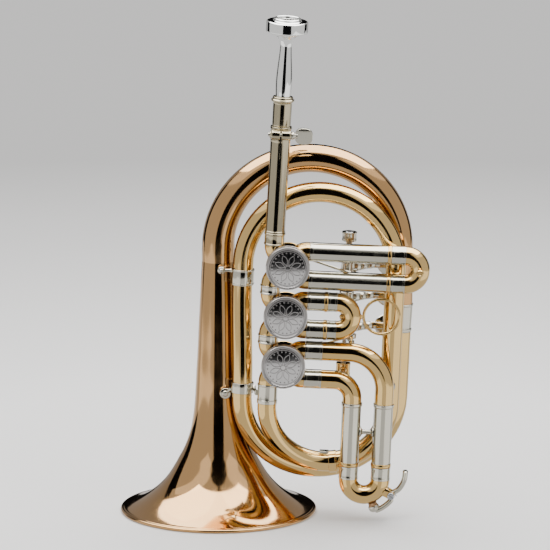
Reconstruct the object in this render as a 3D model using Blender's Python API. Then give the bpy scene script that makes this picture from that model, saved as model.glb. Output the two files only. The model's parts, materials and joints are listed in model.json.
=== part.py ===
"""Trumpet with three rotary valves in a short oval wrap, standing on the rim of its bell.

The bell's axis is vertical. The rest of the instrument, the wrap, leans a little to +X, so it is
modelled in a frame of its own that is turned about Y. The valve caps face -Y, the finger plates +Y.
Lengths in this file are millimetres. MM turns them into Blender's metres when a piece is placed.
"""

import math

import bmesh
import bpy
from mathutils import Matrix, Vector

MM = 0.001
GAP = 0.3                       # clearance between neighbouring pieces
DOWN = (0.0, 0.0, -1.0)

# Bell, measured from its own axis, with the rim at z = 0
BELL_X = -36.2                  # bell axis, so that the origin is under the middle of the object
BELL_RIM_RADIUS = 63.5
BELL_WALL = 0.9
BELL_TOP_Z = 166.0
BELL_SIDES = 28

# The wrap's frame stands on the bell's axis and leans about Y
WRAP_LEAN = math.radians(2.6)
LEADPIPE_LEAN = math.radians(0.7)       # the leadpipe leans this much more than the wrap
PORT_Y = -27.5                  # plane of the valve ports, the leadpipe and the valve slides
TUBE_WALL = 0.8
TUBE_SIDES = 8

# Bell bow and tail
BOW_X = 51.2
BOW_Z = 177.0
BOW_RADIUS = 59.2
BOW_TUBE_RADII = (10.6, 9.1, 6.9)       # at the bell, at the top and at the tail
TAIL_X = 112.4
TAIL_FERRULE_Z = (124.6, 143.2)

# Main tubing
MAIN_RADIUS = 6.4
RING_SLIP = 0.85                # room between the main tube's surface and a ring's bore
INNER_LEFT_X = 8.6
INNER_RIGHT_X = 106.9
INNER_Y = -13.5
INNER_BOW_Z = 167.8
UPPER_JOINT_Z = 159.5
LOWER_BRACE_Z = 86.9
OUTER_BOW_X = 62.0
OUTER_BOW_Z = 82.3
OUTER_BOW_RADIUS = 50.4
OUTER_BOW_STEP = 3.8            # how far the outer tube steps forward on its way down
EXIT_X = 27.9
EXIT_FERRULE_Z = (79.5, 92.2)
BOTTOM_BOW_Z = 78.7
BOTTOM_FERRULE_ANGLE = math.radians(277.0)

# Leadpipe, as heights above the bottom of the leadpipe ferrule
LEADPIPE_X = 27.9
LEADPIPE_Z = 184.1
SLEEVE_TOP = 78.0
RECEIVER_TOP = 97.4
MOUTHPIECE_TOP = 148.6
CLAMP_HEIGHT = 74.0

# Rotary valves
VALVE_X = 37.2
VALVE_Z = (171.2, 138.6, 106.0)
CASING_RADIUS = 13.0
CASING_BORE = 10.5
CASING_FRONT = -8.7
CASING_BACK = 9.0
CAP_RADIUS = 14.15
CAP_FRONT = -12.0
PORT_RADIUS = 5.0
KNUCKLE_RADIUS = 6.1
KNUCKLE_BEND = 6.4
SLIDE_OFFSET = 9.3              # height of a slide leg above or below its valve's axis
LINK_OFFSET = 10.5              # the same for the tubes between the valves
KNUCKLE_END = 13.7
ROD_Y = 15.0                    # plane of the connecting rods, behind the ports
STOP_ARM_LENGTH = 6.0
STOP_ARM_REST = math.radians(50.0)      # from straight up, towards +X
STOP_MIDDLE = math.radians(265.0)       # middle of the stop finger's quarter turn
STOP_SPREAD = math.radians(70.0)        # from there to each stop post

# Keys
AXLE_X = 76.6
AXLE_Y = 11.5
AXLE_RADIUS = 1.5
HUB_RADIUS = 4.75
HUB_HEIGHT = 9.0
LEVER_Z = (162.6, 142.3, 122.0)
CRANK_LENGTH = 24.0
CRANK_REST = math.radians(10.0)
BRACKET_Z = (184.3, 95.2)
PLATE_BACK = 13.0
PLATE_MIDDLE = 30.0

# Valve slides
LEG_RADIUS = 5.3
SLEEVE_RADIUS = 6.15
SLEEVE_BORE = 5.6
BAND_RADIUS = 6.6
FERRULE_RADIUS = 6.3
SLIDE_1_BAND_X = (101.2, 103.6)
SLIDE_1_BOW_X = 112.8
SLIDE_2_BAND_X = (61.8, 64.2)
SLIDE_2_BOW_X = 70.1
SLIDE_3_LEFT_X = 82.6
SLIDE_3_RIGHT_X = 103.2
SLIDE_3_RING_Z = 81.0
SLIDE_3_BAND_Z = (40.4, 42.8)
SLIDE_3_BOW_Z = 32.0
SLIDE_3_BRACE_Z = 63.0
WRAP_SPACER_AT = (106.9, -20.6, 92.4)   # between the third slide's right tube and the main tube
WRAP_SPACER_RADIUS = 2.5
WRAP_SPACER_THICKNESS = 0.9
RING_X = 99.0
RING_Z = 139.7
RING_RADIUS = 11.5
RING_WIRE = 0.95

# Water key, placed round the middle of the third slide's bow
KEY_PIVOT_RADIUS = 20.2
KEY_PIVOT_ANGLE = math.radians(-29.0)
KEY_PAD_ANGLE = math.radians(-69.0)


def clear_scene():
    for old in list(bpy.data.objects):
        bpy.data.objects.remove(old, do_unlink=True)


def make_material(name, colour, metallic, roughness):
    material = bpy.data.materials.new(name)
    material.use_nodes = True
    shader = material.node_tree.nodes["Principled BSDF"]
    shader.inputs["Base Color"].default_value = (*colour, 1.0)
    shader.inputs["Metallic"].default_value = metallic
    shader.inputs["Roughness"].default_value = roughness
    return material


def make_materials():
    return {
        "rose_brass": make_material("rose_brass", (0.86, 0.60, 0.40), 1.0, 0.08),
        "yellow_brass": make_material("yellow_brass", (0.85, 0.66, 0.36), 1.0, 0.08),
        "nickel_silver": make_material("nickel_silver", (0.72, 0.70, 0.66), 1.0, 0.12),
        "silver_plate": make_material("silver_plate", (0.88, 0.87, 0.85), 1.0, 0.05),
        "steel": make_material("steel", (0.55, 0.55, 0.56), 1.0, 0.25),
        "cork": make_material("cork", (0.45, 0.28, 0.15), 0.0, 0.9),
    }


def add_empty(name, location, parent=None, rotation=(0.0, 0.0, 0.0)):
    empty = bpy.data.objects.new(name, None)
    bpy.context.scene.collection.objects.link(empty)
    empty.empty_display_size = 10 * MM
    empty.parent = parent
    empty.location = Vector(location) * MM
    empty.rotation_euler = rotation
    return empty


def add_piece(name, bm, material, parent):
    """Turn a bmesh in millimetres into an object whose origin is its parent's."""
    bmesh.ops.scale(bm, vec=(MM, MM, MM), verts=bm.verts)
    bmesh.ops.recalc_face_normals(bm, faces=bm.faces)
    mesh = bpy.data.meshes.new(name)
    bm.to_mesh(mesh)
    bm.free()
    mesh.materials.append(MATERIALS[material])
    mesh.shade_smooth()
    mesh.set_sharp_from_angle(angle=math.radians(38.0))
    piece = bpy.data.objects.new(name, mesh)
    bpy.context.scene.collection.objects.link(piece)
    piece.parent = parent
    return piece


def combine(piece, operation, *shapes):
    """Join shapes to a piece, or cut them from it, each with a Boolean modifier."""
    for number, shape in enumerate(shapes):
        tool = add_piece(f"{piece.name}_{operation.lower()}_{number}", shape, "steel", piece.parent)
        tool.hide_render = True
        tool.display_type = "WIRE"
        modifier = piece.modifiers.new(tool.name, "BOOLEAN")
        modifier.operation = operation
        modifier.solver = "EXACT"
        modifier.object = tool
    return piece


def lathe(profile, axis="Z", sides=TUBE_SIDES):
    """Solid of revolution. The profile is (radius, height), and it closes itself off the axis."""
    bm = bmesh.new()
    verts = [bm.verts.new((radius, 0.0, height)) for radius, height in profile]
    edges = [bm.edges.new(pair) for pair in zip(verts, verts[1:])]
    if profile[0][0] > 0.0:
        edges.append(bm.edges.new((verts[-1], verts[0])))
    bmesh.ops.spin(bm, geom=verts + edges, cent=(0, 0, 0), axis=(0, 0, 1), angle=math.tau, steps=sides)
    bmesh.ops.remove_doubles(bm, verts=bm.verts, dist=0.001)
    turns = {
        "X": Matrix.Rotation(math.radians(90.0), 4, "Y"),
        "Y": Matrix.Rotation(math.radians(-90.0), 4, "X"),
        "Z": Matrix.Identity(4),
    }
    bm.transform(turns[axis])
    return bm


def moved(bm, offset):
    bmesh.ops.translate(bm, vec=offset, verts=bm.verts)
    return bm


def turned(bm, angle, axis):
    bm.transform(Matrix.Rotation(angle, 4, axis))
    return bm


def directions_along(points):
    """Unit tangents of a path, also where two points coincide at a step in radius."""
    tangents = []
    for index, point in enumerate(points):
        before = next((p for p in reversed(points[:index]) if (p - point).length > 0.001), point)
        after = next((p for p in points[index + 1:] if (p - point).length > 0.001), point)
        tangents.append((after - before).normalized())
    return tangents


def sweep(stations, sides=TUBE_SIDES, first=None, last=None):
    """Tube along stations of (point, outer radius, bore). A bore of 0 makes it solid.

    The end faces are square to the path, or to the directions first and last where those are given.
    """
    points = [Vector(point) for point, _, _ in stations]
    tangents = directions_along(points)
    tangents[0] = Vector(first).normalized() if first else tangents[0]
    tangents[-1] = Vector(last).normalized() if last else tangents[-1]
    across = Vector((0.0, 1.0, 0.0))
    if abs(tangents[0].y) > 0.9:
        across = Vector((1.0, 0.0, 0.0))
    bm = bmesh.new()
    loops = []
    for point, tangent, (_, outer, bore) in zip(points, tangents, stations):
        across = (across - tangent * across.dot(tangent)).normalized()
        upward = tangent.cross(across)
        rings = []
        for radius in (outer, bore):
            ring = []
            for step in range(sides if radius > 0.0 else 0):
                angle = math.tau * step / sides
                spoke = across * math.cos(angle) + upward * math.sin(angle)
                ring.append(bm.verts.new(point + spoke * radius))
            rings.append(ring)
        loops.append(rings)
    for (outer_a, bore_a), (outer_b, bore_b) in zip(loops, loops[1:]):
        for side in range(sides):
            follow = (side + 1) % sides
            bm.faces.new((outer_a[side], outer_a[follow], outer_b[follow], outer_b[side]))
            if bore_a:
                bm.faces.new((bore_a[follow], bore_a[side], bore_b[side], bore_b[follow]))
    for outer, bore in (loops[0], loops[-1]):
        if not bore:
            bm.faces.new(outer)
        for side in range(len(bore)):
            follow = (side + 1) % sides
            bm.faces.new((outer[side], outer[follow], bore[follow], bore[side]))
    return bm


def straight(start, end, radius, sides=8):
    return sweep([(start, radius, 0.0), (end, radius, 0.0)], sides)


def block(low, high):
    bm = bmesh.new()
    bmesh.ops.create_cube(bm, size=1.0)
    size = Vector(high) - Vector(low)
    bmesh.ops.scale(bm, vec=size, verts=bm.verts)
    return moved(bm, (Vector(high) + Vector(low)) / 2)


def prism(outline, low, high):
    """Outline in X and Z, extruded along Y from low to high."""
    bm = bmesh.new()
    face = bm.faces.new([bm.verts.new((x, low, z)) for x, z in outline])
    extruded = bmesh.ops.extrude_face_region(bm, geom=[face])
    raised = [item for item in extruded["geom"] if isinstance(item, bmesh.types.BMVert)]
    bmesh.ops.translate(bm, vec=(0.0, high - low, 0.0), verts=raised)
    return bm


def capsule(length, radius, end_radius, steps=4):
    """Outline of an arm that points along +Z from a round hub to a smaller round end."""
    outline = []
    for centre, size, start in ((0.0, radius, math.pi), (length, end_radius, 0.0)):
        for step in range(steps + 1):
            angle = start + math.pi * step / steps
            outline.append((size * math.cos(angle), centre + size * math.sin(angle)))
    return outline


def on_circle(centre, radius, angle, depth):
    return Vector((centre[0] + radius * math.cos(angle), depth, centre[1] + radius * math.sin(angle)))


def ease(share):
    """Smooth step from 0 to 1."""
    share = min(max(share, 0.0), 1.0)
    return share * share * (3.0 - 2.0 * share)


def arc(centre, radius, start, stop, steps, depths):
    """Points on an arc in X and Z whose depth in Y moves smoothly between two values."""
    points = []
    for step in range(steps + 1):
        share = step / steps
        angle = start + (stop - start) * share
        depth = depths[0] + (depths[1] - depths[0]) * ease(share)
        points.append(on_circle(centre, radius, angle, depth))
    return points


def pipe(points, start_radius, end_radius, wall=TUBE_WALL):
    """Stations of a thin tube whose radius changes evenly with the point's number."""
    stations = []
    for index, point in enumerate(points):
        radius = start_radius + (end_radius - start_radius) * index / (len(points) - 1)
        stations.append((point, radius, radius - wall))
    return stations


def helix(radius, low, high, turns):
    """Points of a coil as (across, across, along), eight to each turn."""
    count = turns * 8
    points = []
    for step in range(count + 1):
        angle = math.tau * step / 8
        along = low + (high - low) * step / count
        points.append((radius * math.cos(angle), radius * math.sin(angle), along))
    return points


def collar(low, high, outer, bore):
    """Profile of a plain ring."""
    return [(outer, high), (outer, low), (bore, low), (bore, high)]


def bell_profile():
    """Outer side of the bell, top to bottom: a stem that opens into a fast flare."""
    return [
        (10.6, BELL_TOP_Z), (12.4, 128.0), (14.2, 92.0), (16.1, 66.0), (19.0, 50.6), (23.6, 38.8),
        (29.6, 28.0), (37.2, 17.6), (46.0, 9.9), (55.4, 4.7), (61.4, 2.8),
    ]


def make_bell(instrument):
    outside = bell_profile()
    bead = [
        (BELL_RIM_RADIUS, 2.0), (BELL_RIM_RADIUS, 0.7), (BELL_RIM_RADIUS - 0.6, 0.0),
        (BELL_RIM_RADIUS - 2.1, 0.0),
    ]
    inside = []
    for index in reversed(range(len(outside))):
        radius, height = outside[index]
        above = outside[max(index - 1, 0)]
        below = outside[min(index + 1, len(outside) - 1)]
        run = Vector((below[0] - above[0], below[1] - above[1])).normalized()
        inside.append((radius + run.y * BELL_WALL, height - run.x * BELL_WALL))
    inside[-1] = (outside[0][0] - BELL_WALL, BELL_TOP_Z)
    add_piece("bell", lathe(outside + bead + inside, sides=BELL_SIDES), "rose_brass", instrument)


def make_bell_bow(instrument, wrap):
    """The bow starts upright above the bell, runs over the top and narrows down to its ferrule."""
    start = Vector((0.0, 0.0, BELL_TOP_Z + GAP))
    to_wrap = Matrix.Rotation(-WRAP_LEAN, 4, "Y")
    points = [to_wrap @ start, to_wrap @ (start + Vector((0.0, 0.0, 6.0)))]
    left = math.radians(177.4)
    points += arc((BOW_X, BOW_Z), BOW_RADIUS, left, 0.0, 12, (0.0, 0.0))
    drop = points[-1].z - TAIL_FERRULE_Z[1] - GAP
    for share in (0.4, 0.7, 1.0):
        side = points[-1].x + (TAIL_X - points[-1].x) * share
        points.append(Vector((side, 0.0, BOW_Z - drop * share)))
    count = len(points) - 1
    stations = []
    for index, point in enumerate(points):
        share = index / count
        at_bell, at_top, at_tail = BOW_TUBE_RADII
        radius = at_bell + (at_top - at_bell) * ease(share * 2.0)
        radius += (at_tail - at_top) * ease(share * 2.0 - 1.0)
        stations.append((point, radius, radius - TUBE_WALL))
    add_piece("bell_bow", sweep(stations, 10, last=DOWN), "rose_brass", wrap)
    low, high = TAIL_FERRULE_Z
    ferrule = [
        ((TAIL_X, 0.0, high), 7.3, 5.9), ((TAIL_X, 0.0, high - 1.5), 7.6, 5.9),
        ((TAIL_X, 0.0, high - 3.0), 7.2, 5.9), ((TAIL_X, 0.0, low + 3.0), 6.8, 5.9),
        ((TAIL_X, 0.0, low + 1.5), 7.1, 5.9), ((TAIL_X, 0.0, low), 6.8, 5.9),
    ]
    add_piece("tail_ferrule", sweep(ferrule), "nickel_silver", wrap)


def make_main_tubing(wrap):
    # from the valve exit round the bottom to the ferrule
    half = (INNER_RIGHT_X - EXIT_X) / 2
    centre = (EXIT_X + half, BOTTOM_BOW_Z)
    depth_at_ferrule = INNER_Y - 1.4
    lower = [Vector((EXIT_X, PORT_Y, EXIT_FERRULE_Z[0] - GAP))]
    lower += arc(centre, half, math.pi, BOTTOM_FERRULE_ANGLE, 8, (PORT_Y, depth_at_ferrule))
    across_ferrule = (-math.sin(BOTTOM_FERRULE_ANGLE), 0.0, math.cos(BOTTOM_FERRULE_ANGLE))
    lower_bow = sweep(pipe(lower, 6.1, MAIN_RADIUS), first=DOWN, last=across_ferrule)
    add_piece("inner_bottom_bow", lower_bow, "yellow_brass", wrap)

    # from that ferrule up the right, over the top and down the left
    gap_angle = GAP / half
    top_half = (INNER_RIGHT_X - INNER_LEFT_X) / 2
    top_centre = (INNER_LEFT_X + top_half, INNER_BOW_Z)
    rise_from = BOTTOM_FERRULE_ANGLE + gap_angle
    rise = [on_circle(centre, half, rise_from, depth_at_ferrule)]
    rise += arc(centre, half, math.radians(287.0), math.tau, 5, (INNER_Y, INNER_Y))
    over = arc(top_centre, top_half, 0.0, math.pi, 11, (INNER_Y, INNER_Y))
    joint = Vector((INNER_LEFT_X, INNER_Y, UPPER_JOINT_Z + GAP))
    stations = pipe(rise + over + [joint], MAIN_RADIUS, MAIN_RADIUS + 0.1)
    add_piece("inner_main_bow", sweep(stations, first=across_ferrule), "yellow_brass", wrap)

    # from the upper brace down the left, round the bottom and up to the tail
    left_x = OUTER_BOW_X - OUTER_BOW_RADIUS
    depth = INNER_Y - OUTER_BOW_STEP
    down = []
    for share in (0.0, 0.33, 0.66):
        side = INNER_LEFT_X + (left_x - INNER_LEFT_X) * share
        height = UPPER_JOINT_Z + (OUTER_BOW_Z - UPPER_JOINT_Z) * share
        down.append(Vector((side, INNER_Y + (depth - INNER_Y) * share, height)))
    outer_centre = (OUTER_BOW_X, OUTER_BOW_Z)
    crossing = math.radians(286.0)
    first = arc(outer_centre, OUTER_BOW_RADIUS, math.pi, crossing, 9, (depth, 0.0))
    rest = arc(outer_centre, OUTER_BOW_RADIUS, crossing, math.tau, 5, (0.0, 0.0))
    tail = Vector((TAIL_X, 0.0, TAIL_FERRULE_Z[0] - GAP))
    stations = pipe(down + first + rest[1:] + [tail], MAIN_RADIUS, MAIN_RADIUS + 0.1)
    add_piece("outer_bottom_bow", sweep(stations, first=DOWN), "yellow_brass", wrap)

    # ferrules, each slipped over a joint with clearance
    middle = on_circle(centre, half, BOTTOM_FERRULE_ANGLE, depth_at_ferrule)
    along = Vector(across_ferrule)
    ends = [middle - along * 2.6, middle + along * 2.6]
    slip = MAIN_RADIUS + RING_SLIP
    ring = sweep([(ends[0], slip + 0.5, slip), (ends[1], slip + 0.5, slip)], 12)
    add_piece("bottom_bow_ferrule", ring, "yellow_brass", wrap)
    exit_low, exit_high = EXIT_FERRULE_Z
    exit_ring = lathe(collar(exit_low, exit_high, 6.7, 5.3))
    add_piece("exit_ferrule", moved(exit_ring, (EXIT_X, PORT_Y, 0.0)), "nickel_silver", wrap)


def make_bell_braces(wrap):
    slip = MAIN_RADIUS + RING_SLIP
    upper = Vector((INNER_LEFT_X, INNER_Y, UPPER_JOINT_Z))
    sleeve = lathe(collar(-5.5, 5.0, slip + 0.5, slip), sides=12)
    brace = add_piece("upper_bell_brace", moved(sleeve, upper), "nickel_silver", wrap)
    ball_centre = Vector((-5.2, INNER_Y - 0.4, upper.z + 3.2))
    arm = straight(upper + Vector((-slip - 0.3, 0.0, 3.2)), ball_centre, 1.1)
    ball = lathe([(0.0, -2.1), (1.5, -1.5), (2.1, 0.0), (1.5, 1.5), (0.0, 2.1)], "Y", 8)
    combine(brace, "UNION", arm, moved(ball, ball_centre))

    share = (UPPER_JOINT_Z - LOWER_BRACE_Z) / (UPPER_JOINT_Z - OUTER_BOW_Z)
    left_x = OUTER_BOW_X - OUTER_BOW_RADIUS
    side = INNER_LEFT_X + (left_x - INNER_LEFT_X) * share
    lower = Vector((side, INNER_Y - OUTER_BOW_STEP * share, LOWER_BRACE_Z))
    sleeve = lathe(collar(-3.4, 3.4, slip + 0.5, slip), sides=12)
    brace = add_piece("lower_bell_brace", moved(sleeve, lower), "nickel_silver", wrap)
    foot_centre = Vector((0.9, INNER_Y - 3.3, lower.z - 5.0))
    foot = lathe([(0.0, -1.0), (3.4, -1.0), (3.8, 0.0), (3.4, 1.0), (0.0, 1.0)], "Y", 12)
    arm = straight(lower + Vector((-slip - 0.2, 0.0, -1.5)), foot_centre, 1.1)
    rod_end = Vector((EXIT_X - 8.0, PORT_Y, lower.z - 1.0))
    rod = straight(lower + Vector((slip + 0.2, -1.0, 0.0)), rod_end, 1.2)
    combine(brace, "UNION", arm, moved(foot, foot_centre), rod)


def make_leadpipe(leadpipe):
    """Ferrule, outer sleeve with its clamp, inner receiver and mouthpiece, all along Z."""
    ferrule = lathe(collar(GAP, 8.3, 6.8, 5.5))
    add_piece("leadpipe_ferrule", ferrule, "nickel_silver", leadpipe)

    sleeve = lathe([
        (6.9, SLEEVE_TOP), (6.9, SLEEVE_TOP - 9.0), (6.4, SLEEVE_TOP - 9.0), (6.4, 8.6),
        (5.85, 8.6), (5.85, SLEEVE_TOP),
    ], sides=12)
    sleeve = add_piece("leadpipe_sleeve", sleeve, "nickel_silver", leadpipe)
    lug = lathe([(0.0, -7.0), (3.1, -7.0), (3.1, 5.6), (0.0, 5.6)], "X")
    lug = moved(lug, (0.0, -8.6, CLAMP_HEIGHT))
    bore = lathe([(0.0, 0.0), (5.85, 0.0), (5.85, 90.0), (0.0, 90.0)])
    slit = block((-0.6, -13.0, CLAMP_HEIGHT - 16.0), (0.6, -2.0, SLEEVE_TOP + 2.0))
    hole = lathe([(0.0, -10.0), (1.6, -10.0), (1.6, 10.0), (0.0, 10.0)], "X")
    hole = moved(hole, (0.0, -9.4, CLAMP_HEIGHT))
    combine(sleeve, "UNION", lug)
    combine(sleeve, "DIFFERENCE", bore, slit, hole)

    screw_frame = add_empty("clamp_screw_axis", (0.0, -9.4, CLAMP_HEIGHT), leadpipe)
    shaft = lathe([(0.0, -8.4), (1.25, -8.4), (1.25, 6.0), (2.3, 6.0), (2.3, 8.0), (0.0, 8.0)], "X", 10)
    screw = add_piece("clamp_screw", shaft, "nickel_silver", screw_frame)
    spade = lathe([(0.0, -0.9), (5.2, -0.9), (5.5, 0.0), (5.2, 0.9), (0.0, 0.9)], "Y", 14)
    neck = straight((7.0, 0.0, 0.0), (12.0, 0.0, 0.0), 1.6)
    combine(screw, "UNION", neck, moved(spade, (14.5, 0.0, 0.0)))

    receiver_frame = add_empty("receiver_axis", (0.0, 0.0, 0.0), leadpipe)
    receiver = lathe([
        (5.5, 26.0), (5.5, RECEIVER_TOP - 3.6), (7.2, RECEIVER_TOP - 3.2), (7.2, RECEIVER_TOP - 1.2),
        (6.2, RECEIVER_TOP - 0.8), (6.2, RECEIVER_TOP), (5.05, RECEIVER_TOP),
        (4.45, RECEIVER_TOP - 24.0), (4.45, 26.0),
    ], sides=12)
    add_piece("mouthpiece_receiver", receiver, "nickel_silver", receiver_frame)

    top = MOUTHPIECE_TOP
    mouthpiece = lathe([
        (4.1, RECEIVER_TOP - 21.0), (4.7, RECEIVER_TOP), (4.6, top - 36.0), (3.8, top - 24.0),
        (4.0, top - 16.4), (5.2, top - 13.0), (8.2, top - 11.2), (10.0, top - 10.0), (13.4, top - 8.7),
        (13.4, top - 2.6), (12.8, top - 1.8), (9.1, top - 1.6), (8.3, top), (7.4, top - 1.4),
        (6.4, top - 7.0), (1.9, top - 12.5), (3.3, RECEIVER_TOP - 21.0),
    ], sides=16)
    mouthpiece_frame = add_empty("mouthpiece_axis", (0.0, 0.0, 0.0), receiver_frame)
    add_piece("mouthpiece", mouthpiece, "silver_plate", mouthpiece_frame)


def knuckle_path(side, height_sign, along, offset, end):
    """Centreline that leaves a valve at 45 degrees, then bends to run along X or Z."""
    bend = KNUCKLE_BEND
    diagonal = math.sqrt(0.5)
    start = (offset - bend * (1.0 - diagonal)) / diagonal
    path = []
    for step in range(3):
        heading = math.radians(45.0) * (1.0 - step / 2)
        path.append((
            start * diagonal + bend * (diagonal - math.sin(heading)),
            start * diagonal + bend * (math.cos(heading) - diagonal),
        ))
    path[-1] = (end, path[-1][1])
    if along == "Z":
        path = [(b, a) for a, b in path]
    return [Vector((side * x, 0.0, height_sign * z)) for x, z in path]


def knuckle_tube(path, inner_end, radius, overrun, sides):
    """Solid along a knuckle path, begun at a distance from the valve's axis."""
    outward = Vector((math.copysign(1.0, path[-1].x), 0.0, 0.0))
    if abs(path[-1].z) > abs(path[-1].x):
        outward = Vector((0.0, 0.0, math.copysign(1.0, path[-1].z)))
    points = [path[0].normalized() * inner_end] + path
    points[-1] = path[-1] + outward * overrun
    return sweep([(point, radius, 0.0) for point in points], sides, last=outward)


def knuckle_paths(number):
    """The four knuckles of a valve: two to its slide, one in and one out."""
    last = len(VALVE_Z) - 1
    half_pitch = (VALVE_Z[0] - VALVE_Z[1]) / 2 - 3.0
    upper_end = LEADPIPE_Z - VALVE_Z[0] if number == 0 else half_pitch
    lower_end = VALVE_Z[last] - EXIT_FERRULE_Z[1] - GAP if number == last else half_pitch
    upper_offset = SLIDE_OFFSET if number == 0 else LINK_OFFSET
    lower_offset = SLIDE_OFFSET if number == last else LINK_OFFSET
    return [
        knuckle_path(1, 1, "X", SLIDE_OFFSET, KNUCKLE_END),
        knuckle_path(1, -1, "X", SLIDE_OFFSET, KNUCKLE_END),
        knuckle_path(-1, 1, "Z", upper_offset, upper_end),
        knuckle_path(-1, -1, "Z", lower_offset, lower_end),
    ]


def make_casing(number, valve):
    casing = lathe([
        (0.0, CASING_BACK), (CASING_RADIUS, CASING_BACK), (CASING_RADIUS, CASING_FRONT),
        (0.0, CASING_FRONT),
    ], "Y", 16)
    name = f"valve_{number + 1}_casing"
    casing = add_piece(name, turned(casing, math.radians(4.0), "Y"), "yellow_brass", valve)
    paths = knuckle_paths(number)
    outer = [knuckle_tube(path, 10.0, KNUCKLE_RADIUS, 0.0, TUBE_SIDES) for path in paths]
    posts = []
    for side in (-1, 1):
        post = lathe([(0.0, 8.0), (1.8, 8.0), (1.8, 11.6), (0.0, 11.6)], "Y", 6)
        angle = STOP_MIDDLE + side * STOP_SPREAD
        posts.append(moved(post, on_circle((0.0, 0.0), 8.3, angle, 0.0)))
    combine(casing, "UNION", *outer, *posts)
    bore = lathe([
        (0.0, CASING_FRONT - 1.0), (CASING_BORE, CASING_FRONT - 1.0), (CASING_BORE, 6.5),
        (2.6, 6.5), (2.6, CASING_BACK + 1.0), (0.0, CASING_BACK + 1.0),
    ], "Y", 15)
    airways = [knuckle_tube(path, 8.0, PORT_RADIUS, 1.0, 6) for path in paths]
    combine(casing, "DIFFERENCE", bore, *airways)


def make_valve(number, valve):
    make_casing(number, valve)
    label = f"valve_{number + 1}"
    cap = lathe([
        (0.0, -11.2), (12.3, -11.2), (12.7, CAP_FRONT), (13.7, CAP_FRONT), (CAP_RADIUS, -11.5),
        (CAP_RADIUS, -6.5), (CASING_RADIUS + GAP, -6.5), (CASING_RADIUS + GAP, -9.6), (0.0, -9.6),
    ], "Y", 18)
    add_piece(f"{label}_cap", cap, "nickel_silver", valve)

    plate = lathe([(2.6, -8.7), (10.2, -8.7), (10.2, -6.7), (2.6, -6.7)], "Y", 16)
    add_piece(f"{label}_bearing_plate", plate, "yellow_brass", valve)

    rotor_frame = add_empty(f"{label}_rotor_axis", (0.0, 0.0, 0.0), valve)
    rotor = lathe([
        (0.0, -9.2), (2.2, -9.2), (2.2, -6.4), (10.2, -6.4), (10.2, 6.2), (2.2, 6.2), (2.2, 12.1),
        (2.9, 12.1), (2.9, 13.1), (0.0, 13.1),
    ], "Y", 16)
    rotor = add_piece(f"{label}_rotor", rotor, "yellow_brass", rotor_frame)
    passages = []
    for start in (math.radians(-45.0), math.radians(135.0)):
        centre = (-14.4 * math.cos(start + math.pi * 0.25), 0.0)
        path = arc(centre, 10.2, start - 0.12, start + math.pi / 2 + 0.12, 3, (0.0, 0.0))
        passages.append(sweep([(point, 3.8, 0.0) for point in path], 6))
    combine(rotor, "DIFFERENCE", *passages)

    arm = prism(capsule(STOP_ARM_LENGTH, 3.4, 2.0), 9.5, 11.7)
    arm = turned(arm, STOP_ARM_REST, "Y")
    stop_arm = add_piece(f"{label}_stop_arm", arm, "nickel_silver", rotor_frame)
    finger = turned(block((-1.5, 9.5, -8.6), (1.5, 11.7, -1.0)), STOP_ARM_REST, "Y")
    pin = lathe([(0.0, 11.0), (1.0, 11.0), (1.0, 13.6), (1.8, 14.2), (1.8, 15.8), (0.9, 16.6),
                 (0.0, 16.6)], "Y", 6)
    pin_at = on_circle((0.0, 0.0), STOP_ARM_LENGTH, math.pi / 2 - STOP_ARM_REST, 0.0)
    hole = lathe([(0.0, 8.0), (2.5, 8.0), (2.5, 11.85), (0.0, 11.85)], "Y", 12)
    combine(stop_arm, "UNION", finger, moved(pin, pin_at))
    combine(stop_arm, "DIFFERENCE", hole)
    return rotor_frame


def make_connecting_rod(number, rotor_frame):
    """Rod with a socket round the stop arm's ball and an eye round the crank's pin."""
    pin_at = on_circle((0.0, 0.0), STOP_ARM_LENGTH, math.pi / 2 - STOP_ARM_REST, ROD_Y)
    frame = add_empty(f"rod_{number + 1}_axis", pin_at, rotor_frame)
    crank_x = AXLE_X + CRANK_LENGTH * math.sin(CRANK_REST)
    crank_y = AXLE_Y - CRANK_LENGTH * math.cos(CRANK_REST)
    valve = Vector((VALVE_X, PORT_Y, VALVE_Z[number]))
    eye_at = Vector((crank_x, crank_y, LEVER_Z[number] + 0.6)) - valve - pin_at
    socket = lathe(collar(-1.4, 1.4, 3.1, 2.3), "Y", 8)
    rod = add_piece(f"connecting_rod_{number + 1}", socket, "nickel_silver", frame)
    along = eye_at.normalized()
    shaft = straight(along * 2.6, eye_at - along * 2.4, 0.9, 6)
    eye = moved(lathe(collar(-1.4, 1.4, 2.9, 1.8), "Z", 8), eye_at)
    combine(rod, "UNION", shaft, eye)


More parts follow.
